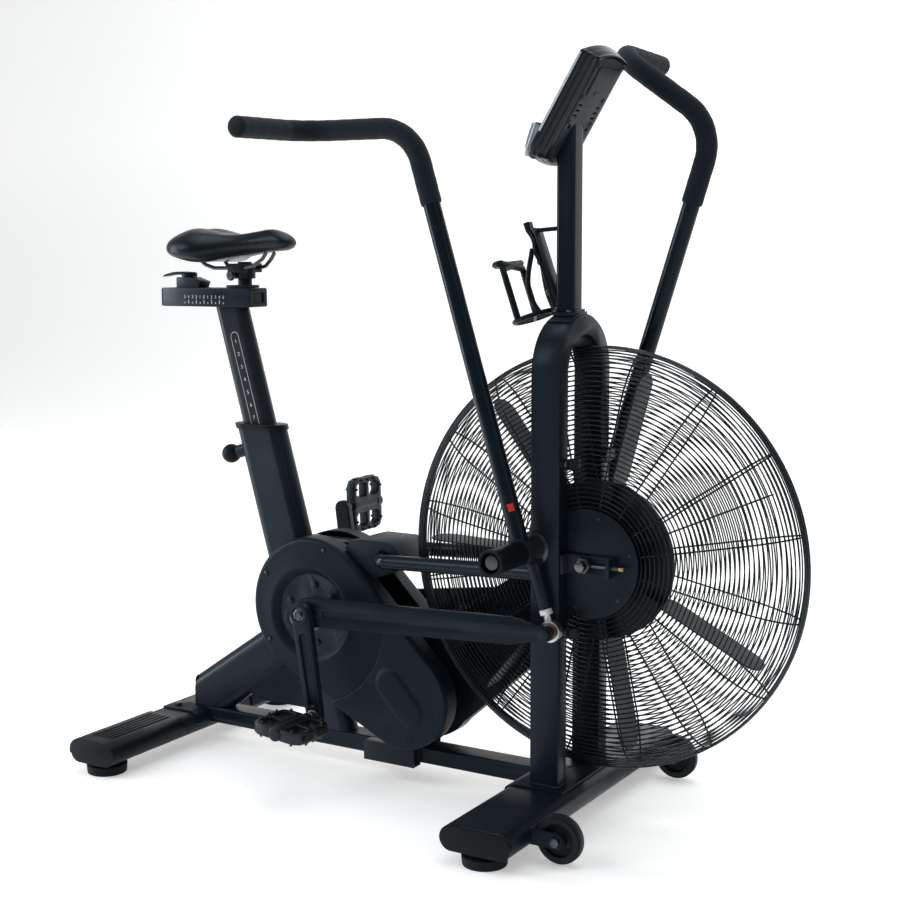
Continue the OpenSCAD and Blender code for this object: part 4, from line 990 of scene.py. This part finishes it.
def console():
    rows = []
    # from the lens recess, over the bezel, along the ribbed side, to the back opening
    sections = [(22, 168, 61, 0, 3, 3, -5.4), (22, 168, 61, 0, 3, 3, -1.0), (21, 169, 62, 0, 4, 4, -0.2),
                (9, 179, 66, 8, 16, 4, 0.0), (4, 182, 69, 11, 21, 5, -0.3),
                (2.4, 183, 70, 12, 22, 5, -1.6), (2, 183.2, 70.2, 12, 22, 5, -3.0)]
    # rounded side with two shallow grooves along it
    for k in range(1, 26):
        t = k / 25
        w = radians(84) * t
        dip = 1.5 * (exp(-((t - 0.30) / 0.055) ** 2) + exp(-((t - 0.62) / 0.055) ** 2))
        sections.append((2 + 6 * (1 - cos(w)), 183.2 - 1.5 * t, 70.2 - 23.5 * (1 - cos(w)) ** 0.85 - dip,
                         12 - 4 * t, 22 - 8 * t, 5, -3.0 - 21.0 * sin(w) + 0.6 * dip))
    sections += [(11.0, 178.4, 45.4, 7.0, 12, 4, -24.4), (11.4, 178.0, 45.0, 7.0, 12, 4, -22.0),
                 (16, 172, 60, 0, 8, 5, -9.0)]
    for a0, a1, half, bow, r0, r1, n in sections:
        rows.append([con(a, y, n) for a, y in bowed(a0, a1, half, bow, r0, r1)])
    verts, faces = skin_rows(rows, close=True)
    c = add("console_shell", from_lists("console_shell", verts, faces), "frame", GLOSS, angle=24)
    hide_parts("console_housing")
    # side strips beside the display, their pale silver a painted highlight on the glossy bezel edge
    for s in (-1, 1):
        rows = []
        for k in range(25):
            a = 44 + 134 * k / 24
            edge = 0.3 + 0.7 * min(1, 4 * k / 24, 4 * (24 - k) / 24)
            rows.append([con(a, s * (70.3), -4.8), con(a, s * (70.3 + 1.1 * edge), -3.6),
                         con(a, s * (70.1 + 1.3 * edge), -1.2), con(a, s * 68.6, 0.5 * edge),
                         con(a, s * 66.4, 0.15)])
        join(f"console_strip_{side_name(s)[0]}", [skin_rows(rows, caps=True)], "frame", HIGHLIGHT_SILVER,
             angle=40)
    tray()
    # hood lip over the back plate
    rows = []
    for k in range(33):
        t = -1 + 2 * k / 32
        a = 182 + 8.2 * (1 - t * t)
        y = t * 49.5
        rows.append([con(a - 2.0, y * 0.98, -23.4), con(a + 0.6, y, -22.6), con(a + 0.9, y, -25.4),
                     con(a - 0.4, y * 0.99, -26.8), con(a - 4.5, y * 0.96, -26.6),
                     con(a - 5.0, y * 0.96, -24.0)])
    join("console_hood_lip", [skin_rows(rows, caps=True)], "frame", GLOSS, angle=40)
    # back plate furniture: battery door with its tab, screw wells and screws
    y_dir = (0, 1, 0)
    door = frame_at(con(145, 0, -26.4), CON_A, y_dir)
    plate("console_door", [rounded(48, 62, 4)], 1.8, door, "frame", BACKPLATE, bevel=0.5)
    grip_at = frame_at(con(126, 0, -27.2), CON_A, y_dir)
    plate("console_door_tab", [rounded(6, 18, 2)], 2.0, grip_at, "frame", BACKPLATE, bevel=0.5)
    well = [(4.2, 25.2), (4.2, 26.6), (3.6, 27.0), (2.9, 26.6), (2.7, 25.4)]
    for s in (-1, 1):
        for k, a in enumerate((24, 74, 116, 170)):
            lathe(f"console_well_{side_name(s)[0]}{k}", well, con(a, s * 36, 0), -CON_N, "frame",
                  BACKPLATE, turns=20)
            screw(f"console_screw_{side_name(s)[0]}{k}", con(a, s * 36, -25.6), -CON_N, 2.3, "frame")
    # display: bezel graphics are plain blocks, with a row of keys below them
    for k, (a, y, h, w) in enumerate(((142, 0, 26, 96), (106, -31, 26, 44), (106, 31, 26, 44),
                                      (72, 0, 22, 96))):
        at = frame_at(con(a, y, -0.1), CON_A, y_dir)
        plate(f"display_window_{k}", [rounded(h, w, 3)], 0.7, at, "frame", LCD, bevel=0.2)
    for k in range(6):
        at = frame_at(con(40, -45 + 18 * k, 0.3), CON_A, y_dir)
        plate(f"console_key_{k}", [rounded(10, 13, 3)], 1.6, at, "frame", KEY, bevel=0.5)


LCD = material("lcd_glass", (0.20, 0.23, 0.20), 0.18, (400, 0.01), 0.08, coat=0.4)
KEY = material("key_rubber", (0.09, 0.10, 0.11), 0.55, (900, 0.05), 0.15)
console()
patch()


# ---- saddle ----
def through(knots, x):
    """A smooth curve through (x, value) knots."""
    xs = [k[0] for k in knots]
    ys = [k[1] for k in knots]
    if x <= xs[0]:
        return ys[0]
    if x >= xs[-1]:
        return ys[-1]
    i = max(k for k in range(len(xs) - 1) if xs[k] <= x)
    slope = []
    for k in (i, i + 1):
        a, b = max(k - 1, 0), min(k + 1, len(xs) - 1)
        slope.append((ys[b] - ys[a]) / (xs[b] - xs[a]))
    h = xs[i + 1] - xs[i]
    t = (x - xs[i]) / h
    return ((2 * t ** 3 - 3 * t ** 2 + 1) * ys[i] + (t ** 3 - 2 * t ** 2 + t) * h * slope[0]
            + (3 * t ** 2 - 2 * t ** 3) * ys[i + 1] + (t ** 3 - t ** 2) * h * slope[1])


SADDLE_REAR, SADDLE_L = -575.0, 255.0
SADDLE_HALF = ((-575, 30), (-569, 56), (-556, 78), (-536, 92), (-512, 97), (-488, 92), (-464, 74),
               (-440, 55), (-414, 42), (-388, 34), (-362, 30), (-342, 27), (-328, 21), (-320, 10))
SADDLE_TOP = ((-575, 938), (-566, 947), (-546, 954), (-516, 957), (-488, 952), (-460, 946), (-430, 945),
              (-398, 949), (-368, 953), (-346, 953), (-330, 948), (-320, 940))
SADDLE_LOW = ((-575, 928), (-566, 916), (-546, 906), (-510, 901), (-474, 903), (-444, 909), (-412, 914),
              (-376, 918), (-346, 920), (-330, 922), (-320, 930))


def saddle_ring(x):
    """One closed cross-section of the saddle at x."""
    half = max(3.0, through(SADDLE_HALF, x) - SWELL_ROOM)
    top = through(SADDLE_TOP, x) - SWELL_ROOM
    low = through(SADDLE_LOW, x) + SWELL_ROOM
    mid = low + 0.42 * (top - low)
    rear = max(0.0, min(1.0, (-430 - x) / 60))
    row = []
    for a in full_turn(56):
        c, s = cos(a), sin(a)
        y = half * copysign(abs(c) ** 0.74, c)
        up = top - mid if s > 0 else mid - low
        z = mid + up * copysign(abs(s) ** 0.80, s)
        z -= 5.0 * (y / 100) ** 2 * (1 + rear)
        if s > 0:
            z -= 4.5 * rear * exp(-(y / 13) ** 2)
        row.append((x, y, z))
    return row


def inflate(o):
    """Cloth pressure on a closed skin, with no point moving further than SWELL_CAP."""
    def freeze():
        bpy.context.view_layer.update()
        seen = o.evaluated_get(bpy.context.evaluated_depsgraph_get())
        return bpy.data.meshes.new_from_object(seen)
    remesh = o.modifiers.new("voxels", "REMESH")
    remesh.mode = "VOXEL"
    remesh.voxel_size = mm(VOXEL)
    base = freeze()
    o.modifiers.clear()
    o.data = base
    cloth = o.modifiers.new("cloth", "CLOTH")
    cloth.settings.quality = 6
    cloth.settings.use_pressure = True
    cloth.settings.uniform_pressure_force = PRESSURE
    cloth.settings.effector_weights.gravity = 0
    for f in range(1, 21):
        bpy.context.scene.frame_set(f)
    swollen = freeze()
    o.modifiers.clear()
    for v, w in zip(base.vertices, swollen.vertices):
        step = w.co - v.co
        if step.length > mm(SWELL_CAP):
            step = step.normalized() * mm(SWELL_CAP)
        v.co += step
    bpy.context.scene.frame_set(1)
    smooth = o.modifiers.new("smooth", "SMOOTH")
    smooth.factor = 0.5
    smooth.iterations = 4
    o.data = freeze()
    o.modifiers.clear()
    for p in o.data.polygons:
        p.use_smooth = True
    sub = o.modifiers.new("subdivision", "SUBSURF")
    sub.levels = 1
    sub.render_levels = 1


def saddle():
    rows = [saddle_ring(SADDLE_REAR + SADDLE_L * k / 60) for k in range(61)]
    verts, faces = skin_rows(rows, caps=True)
    s = add("saddle_cover", from_lists("saddle_cover", verts, faces), "carriage", VINYL,
            angle=180)
    inflate(s)
    s.data.materials.clear()
    s.data.materials.append(VINYL)
    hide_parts("saddle")
    # moulded pan and the bent wire rails under it
    rows = []
    for k in range(31):
        x = -540 + 176 * k / 30
        half = through(SADDLE_HALF, x) * 0.55
        ends = min(1.0, (k + 1) / 4, (31 - k) / 4)
        z = through(SADDLE_LOW, x) + 1.5
        rows.append([(x, -half, z), (x, 0, z + 1.5), (x, half, z), (x, half * 0.94, z - 4 * ends),
                     (x, 0, z - 4.5 * ends), (x, -half * 0.94, z - 4 * ends)])
    pan = join("saddle_pan", [skin_rows(rows, caps=True)], "carriage", TRIM, bevel=1.0)
    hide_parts("saddle_base")
    rails = []
    for s in (-1, 1):
        line = [(-508, s * 34, 900), (-500, s * 30, 893), (-486, s * 23, 887), (-468, s * 22, 887),
                (-418, s * 22, 887), (-402, s * 19, 890), (-384, s * 13, 903), (-376, s * 12, 914)]
        rails.append(wire(filleted([Vector(p) for p in line], (5, 10, 12, 24, 12, 8)), 3.4, 12))
    join("saddle_rails", rails, "carriage", DARK_BOLT, angle=60)
    for s in (-1, 1):
        screw(f"clamp_nut_{side_name(s)[0]}", (-447, s * 24.2, 874), (0, s, 0), 7.5, "carriage", "hex")


saddle()


# ---- scales ----
def number(name, text, size, place, body):
    """Printed figures, as thin raised lettering of Blender's own font."""
    cu = bpy.data.curves.new(name, "FONT")
    cu.body = text
    cu.size = mm(size)
    cu.align_x = "CENTER"
    cu.align_y = "CENTER"
    cu.extrude = mm(0.12)
    tmp = bpy.data.objects.new(name + "_t", cu)
    bpy.context.scene.collection.objects.link(tmp)
    bpy.context.view_layer.update()
    mesh = bpy.data.meshes.new_from_object(tmp.evaluated_get(bpy.context.evaluated_depsgraph_get()))
    bpy.data.objects.remove(tmp)
    mesh.name = name
    mesh.transform(place)
    return add(name, mesh, body, INK, 30)


def rail_scale(side):
    """Figures 5 to 0 to 5 with their ticks, on one side of the sliding rail."""
    tag = side_name(side)
    y = side * 26.1
    ticks = []
    for k in range(11):
        x = -509.4 + (k - 5) * 9.0
        place = frame_at((x, y, 834.5), (-side, 0, 0), (0, 0, 1))
        number(f"rail_figure_{tag}_{k}", str(abs(k - 5)), 8.0, place, "seat")
        tall = 7.0 if k % 2 == 1 else 3.4
        ring = [(x - 0.7, y - 0.15 * side, 822.4), (x + 0.7, y - 0.15 * side, 822.4),
                (x + 0.7, y - 0.15 * side, 822.4 + tall), (x - 0.7, y - 0.15 * side, 822.4 + tall)]
        ticks.append(skin_rows([ring, [(p[0], y + 0.1 * side, p[2]) for p in ring]], caps=True))
    join(f"rail_ticks_{tag}", ticks, "seat", INK)


rail_scale(-1)
rail_scale(1)


def seat_point(along, across, y):
    """A point of the seat post: along its axis from the tube's top, across it fore-aft."""
    return (SEAT[0] - along * sin(SEAT_LEAN) + across * cos(SEAT_LEAN), y,
            SEAT[1] + along * cos(SEAT_LEAN) + across * sin(SEAT_LEAN))


def post_scale():
    """The long printed outline with the figures 1 to 7 on the post's right side."""
    y = -17.15
    line = []
    for a in range(0, 181, 12):
        t = radians(a)
        line.append(seat_point(168 + 8.5 * sin(t), 8.5 * cos(t), y))
    for a in range(180, 361, 12):
        t = radians(a)
        line.append(seat_point(-20 + 8.5 * sin(t), 8.5 * cos(t), y))
    join("post_scale_outline", [wire(line, 0.55, 6, closed=True)], "seat", INK)
    for k in range(7):
        place = frame_at(seat_point(159 - 23.6 * k, 0, y), (cos(SEAT_LEAN), 0, sin(SEAT_LEAN)),
                         (-sin(SEAT_LEAN), 0, cos(SEAT_LEAN)))
        number(f"post_figure_{k + 1}", str(k + 1), 10.0, place, "seat")


post_scale()


def rail_ends():
    """Moulded caps in both ends of the rail."""
    for tag, x, d in (("front", RAIL_ENDS[1], 1), ("rear", RAIL_ENDS[0], -1)):
        place = frame_at((x + d * 1.2, 0, RAIL_Z), (0, d, 0), (0, 0, 1))
        plate(f"rail_cap_{tag}", [rounded(51, 33, 3), rounded(30, 17, 2)], 2.6, place, "seat", TRIM,
              bevel=0.7)
        place = frame_at((x - d * 0.2, 0, RAIL_Z), (0, d, 0), (0, 0, 1))
        plate(f"rail_cap_floor_{tag}", [rounded(34, 20, 1)], 1.2, place, "seat", TRIM, bevel=0.3)


rail_ends()


def clamp_paddle():
    """The rail's clamp lever: a boss and an arched paddle with a thin lip."""
    rows = []
    for k in range(17):
        t = k / 16
        x = -553 - 69 * t
        z = 874.6 + 3.0 * sin(pi * t) - 3.2 * t ** 3
        half = 12.2 - 1.5 * t if k not in (0, 16) else 9.0
        thick = 3.6 - 2.0 * t if k < 16 else 0.8
        rows.append([(x, -half, z - thick * 0.4), (x, -half, z + thick * 0.4),
                     (x, -half * 0.82, z + thick), (x, half * 0.82, z + thick),
                     (x, half, z + thick * 0.4), (x, half, z - thick * 0.4), (x, half * 0.82, z - thick),
                     (x, -half * 0.82, z - thick)])
    p = join("clamp_paddle", [skin_rows(rows, caps=True)], "lever", TRIM, angle=60)
    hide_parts("rail_lever")
    lathe("clamp_boss", [(5.2, 870.4), (13.6, 870.4), (14.4, 871.4), (14.4, 876.6), (12.8, 878.6),
                         (8, 879.4), (5.2, 879.4)], (LEVER_X, 0, 0), (0, 0, 1), "lever", TRIM,
          turns=40)


clamp_paddle()


# ---- crank arms, links' small parts, pegs and rod ends ----
def cap_ring(c0, r0, c1, r1, y):
    """Outline round two circles in a plane across Y, always the same count of points."""
    gap = hypot(c1[0] - c0[0], c1[1] - c0[1])
    head = atan2(c1[1] - c0[1], c1[0] - c0[0])
    open_a = acos((r0 - r1) / gap)
    pts = []
    for k in range(CAP_STEPS + 1):
        a = head + open_a + (2 * pi - 2 * open_a) * k / CAP_STEPS
        pts.append((c0[0] + r0 * cos(a), y, c0[1] + r0 * sin(a)))
    for k in range(CAP_STEPS + 1):
        a = head - open_a + 2 * open_a * k / CAP_STEPS
        pts.append((c1[0] + r1 * cos(a), y, c1[1] + r1 * sin(a)))
    return pts


def crank_arm(side):
    tag = side_name(side)
    p = link_pin(side)
    q = (CRANK[0] - side * CRANK_R * cos(CRANK_A), CRANK[1] - side * CRANK_R * sin(CRANK_A))
    d = Vector((q[0] - p[0], q[1] - p[1])).normalized()
    pocket0 = (p[0] + d.x * 42, p[1] + d.y * 42)
    pocket1 = (q[0] - d.x * 26, q[1] - d.y * 26)
    rows = [cap_ring(p, 19 - i, q, 15 - i, side * y) for i, y in ((2.0, 129), (0, 131), (0, 140.6),
        (0.8, 142.2), (2.4, 143))]
    rows += [cap_ring(pocket0, 9 - i, pocket1, 7.5 - i, side * y)
             for i, y in ((0, 143), (0.8, 142.4), (1.4, 139.6), (2.2, 139))]
    arm = join(f"crank_arm_skin_{tag}", [skin_rows(rows, caps=True)], "crank", PAINT, angle=30)
    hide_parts(f"crank_arm_{tag}")
    lathe(f"crank_boss_{tag}", [(4.2, 139), (17.5, 139), (17.5, 145.6), (16.4, 147), (12.4, 147),
                                (11.8, 145.4), (7.0, 145.4), (6.4, 143)], (p[0], 0, p[1]), (0, side, 0),
          "crank", PAINT, turns=6 * 6)
    screw(f"crank_pin_bolt_{tag}", (p[0], side * 144.4, p[1]), (0, side, 0), 8.2, "crank", "hex")
    lathe(f"crank_pin_{tag}", [(0.4, 92), (7.9, 92), (8.9, 93), (8.9, 124), (11.4, 125), (11.4, 130),
                               (0.4, 130)], (p[0], 0, p[1]), (0, side, 0), "crank", STEEL,
          turns=28)
    lathe(f"pedal_spindle_{tag}", [(0.4, 141), (12.5, 141), (13, 142), (13, 144.8), (12, 145.6),
                                   (9, 146), (8.6, 152), (7, 153), (7, 249.5), (6.4, 250), (0.4, 250)],
          (q[0], 0, q[1]), (0, side, 0), "crank", DARK_BOLT, turns=28)


def rod_end_at(side, along):
    """A point on a handle's lower rod, along mm from the pivot down it."""
    a = radians(handle_lean(side))
    return (PIVOT[0] - along * sin(a), side * LOWER_Y, PIVOT[1] - along * cos(a))


def handle_hub(side):
    tag = side_name(side)
    body = f"{tag}_handle"
    a = radians(handle_lean(side))
    down = Vector((-sin(a), 0, -cos(a)))
    lathe(f"fork_tube_{tag}", [(9, 22), (10.9, 24), (11.0, 90), (10.4, 92.4), (7.4, 94), (7.0, 90)],
          rod_end_at(side, 0), down, body, PAINT_RAIL, turns=32)
    lathe(f"hub_ring_{tag}", [(20.6, 137.4), (22.6, 138), (23.0, 139), (22.6, 140.6), (20.6, 141)],
          (PIVOT[0], 0, PIVOT[1]), (0, side, 0), body, PAINT_RAIL, turns=40)
    for k, y in enumerate((96.3, 110.7)):
        lathe(f"rod_end_liner_{tag}_{k}", [(10.6, -0.5), (12.4, -0.5), (12.4, 0.5), (10.6, 0.5)],
              (rod_end_at(side, ROD_R)[0], side * y, rod_end_at(side, ROD_R)[2]), (0, side, 0), body,
              LINER, turns=32)
    peg = lathe(f"peg_{tag}", [(11.5, 143.2), (18.8, 143.2), (19.5, 144.4), (19.5, 219), (19.9, 221),
                               (20.9, 222.4), (21, 227.4), (20, 229), (17.2, 229), (16.2, 228),
                               (15.8, 206), (11.5, 205)], (PIVOT[0], 0, PIVOT[1]), (0, side, 0), "frame",
                TRIM, turns=48)
    if side < 0:
        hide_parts("foot_pegs")


def weld(name, points, r):
    """A weld bead: a wire whose thickness ripples."""
    pts = [Vector(p) for p in points]
    dense = []
    for i in range(len(pts)):
        p, q = pts[i], pts[(i + 1) % len(pts)]
        n = max(1, int((q - p).length / 1.6))
        dense += [p.lerp(q, k / n) for k in range(n)]
    verts, faces = wire(dense, r, 6, closed=True)
    for i in range(len(dense)):
        swell = 1 + 0.22 * sin(i * 1.9)
        for k in range(6):
            verts[i * 6 + k] = dense[i] + (Vector(verts[i * 6 + k]) - dense[i]) * swell
    join(name, [(verts, faces)], "frame", PAINT, angle=80)


for side in (-1, 1):
    crank_arm(side)
    handle_hub(side)
    tag = side_name(side)
    leg_corners = ((LEG_X[0] - 0.4, 59.6), (LEG_X[1] + 0.4, 59.6),
                   (LEG_X[1] + 0.4, 90.4), (LEG_X[0] - 0.4, 90.4))
    foot_line = [(x, side * y, TUBE_TOP + 4.4) for x, y in leg_corners]
    weld(f"weld_leg_{tag}", foot_line, 1.7)
    ring = [(LEG_X[0] - 0.4, side * LEG_Y + 13.2 * cos(t), 407 + 13.2 * sin(t)) for t in full_turn(30)]
    weld(f"weld_rail_{tag}", ring, 1.4)
    lathe(f"tensioner_tip_{tag}", [(0.4, 344.6), (3.3, 344.6), (3.6, 346), (3.6, 351), (2.8, 352.4),
                                   (0.4, 352.6)], (0, side * LEG_Y, FAN[1]), (1, 0, 0), "frame", BRASS,
          turns=20)


def red_mark():
    """The plain red mark on the right handle's tube, curved with it."""
    lean = radians(handle_lean(-1))
    up = Vector((sin(lean), 0, cos(lean)))
    fore = Vector((cos(lean), 0, -sin(lean)))
    base = Vector((PIVOT[0], -ARM_Y + ARM_IN * 72 / ARM_L, PIVOT[1])) + up * 72
    rows = []
    for h in (-6, -3, 0, 3, 6):
        row = []
        for r in (13.6, 14.35):
            steps = [k * 5 - 80 for k in range(9)]
            for a in (steps if r > 14 else steps[::-1]):
                t = radians(a)
                row.append(base + up * h + fore * r * cos(t) + Vector((0, r * sin(t), 0)))
        rows.append(row)
    join("red_mark", [skin_rows(rows, caps=True)], "right_handle", RED)


red_mark()


# ---- bottle holder ----
def holder(x, y, z):
    """A point in the holder's own frame, z up the bottle."""
    return BOTTLE_O + Vector((x * cos(BOTTLE_LEAN) - z * sin(BOTTLE_LEAN), y,
                              x * sin(BOTTLE_LEAN) + z * cos(BOTTLE_LEAN)))


def bottle_cage():
    parts = []
    # front hoop: up from the foot, across in front of the bottle and down again
    hoop = []
    for a in range(-68, 69, 4):
        t = radians(180 + a)
        hoop.append(holder(BOTTLE_R * cos(t), BOTTLE_R * sin(t), 101 + 3 * cos(radians(a * 1.7))))
    left = [holder(35.5 * cos(radians(180 - 68)), 35.5 * sin(radians(180 - 68)), z)
            for z in (6, 34, 66, 90)]
    right = [Vector((p.x, -p.y, p.z)) for p in left]
    parts.append(wire(left + hoop[::-1] + right[::-1], 5.6, 12))
    # arches from the back post down to the foot
    for s in (-1, 1):
        arch = []
        for k in range(17):
            t = k / 16
            a = radians(14 + 44 * sin(pi * t * 0.72))
            arch.append(holder(36 * cos(a), s * 36 * sin(a), 106 - 100 * t))
        parts.append(wire(arch, 4.2, 12))
    # foot: ring and cross bars
    ring = [holder(34 * cos(t), 34 * sin(t), 4.5) for t in full_turn(40)]
    parts.append(wire(ring, 4.0, 10, closed=True))
    for a in (0, 60, 120):
        t = radians(a)
        parts.append(wire([holder(34 * cos(t), 34 * sin(t), 4), holder(-34 * cos(t), -34 * sin(t), 4)],
                          3.4, 10))
    cage = join("bottle_cage_ribs", parts, "frame", TRIM, angle=60)
    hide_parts("bottle_cage")
    # back post with its slots and the curled lip at the top
    rows = []
    for k in range(33):
        z = 6 + 145 * k / 32
        half = 8 + 11 * exp(-((z - 100) / 16) ** 2)
        curl = 13.0 * max(0.0, (z - 112) / 38) ** 1.6 - 6.0 * max(0.0, (z - 138) / 12)
        x0, x1 = 38.5 - curl, 46.8 - curl * 0.72
        rows.append([holder(x0, -half * 0.8, z), holder(x0 - 1.6, 0, z), holder(x0, half * 0.8, z),
                     holder(x0 + 2, half, z), holder(x1 - 2, half, z), holder(x1, half * 0.8, z),
                     holder(x1, -half * 0.8, z), holder(x1 - 2, -half, z), holder(x0 + 2, -half, z)])
    join("bottle_cage_post", [skin_rows(rows, caps=True)], "frame", TRIM, bevel=0.8)
    for k, z in enumerate((34, 84)):
        screw(f"bottle_screw_{k}", holder(37.4, 0, z), holder(36.4, 0, z) - holder(37.4, 0, z), 4.4,
              "frame", "socket")
    slots = [wire([holder(37.2, -7, z), holder(37.2, 7, z + 5)], 1.4, 8) for z in (98, 104, 110)]
    join("bottle_cage_ridges", slots, "frame", DARK_BOLT, angle=60)


bottle_cage()


# ---- saddle plate over the arch under the mast ----
def arch_strap():
    rows = []
    for k in range(25):
        a = radians(62 + 56 * k / 24)
        row = []
        for x, r in ((LEG_X[0] + 4, 90.2), (LEG_X[1] - 4, 90.2), (LEG_X[1] - 4, 93.0),
                     (LEG_X[0] + 4, 93.0)):
            row.append((x, r * cos(a), 724 + r * sin(a)))
        rows.append(row)
    join("arch_strap", [skin_rows(rows, caps=True)], "frame", PAINT, bevel=0.8)


arch_strap()
strut_end = frame_at((-556.6, 0, 96), (0, -1, 0), (0, 0, 1))
plate("strut_end_cap", [rounded(40, 48, 9)], 1.8, strut_end, "frame", PAINT, bevel=0.5)
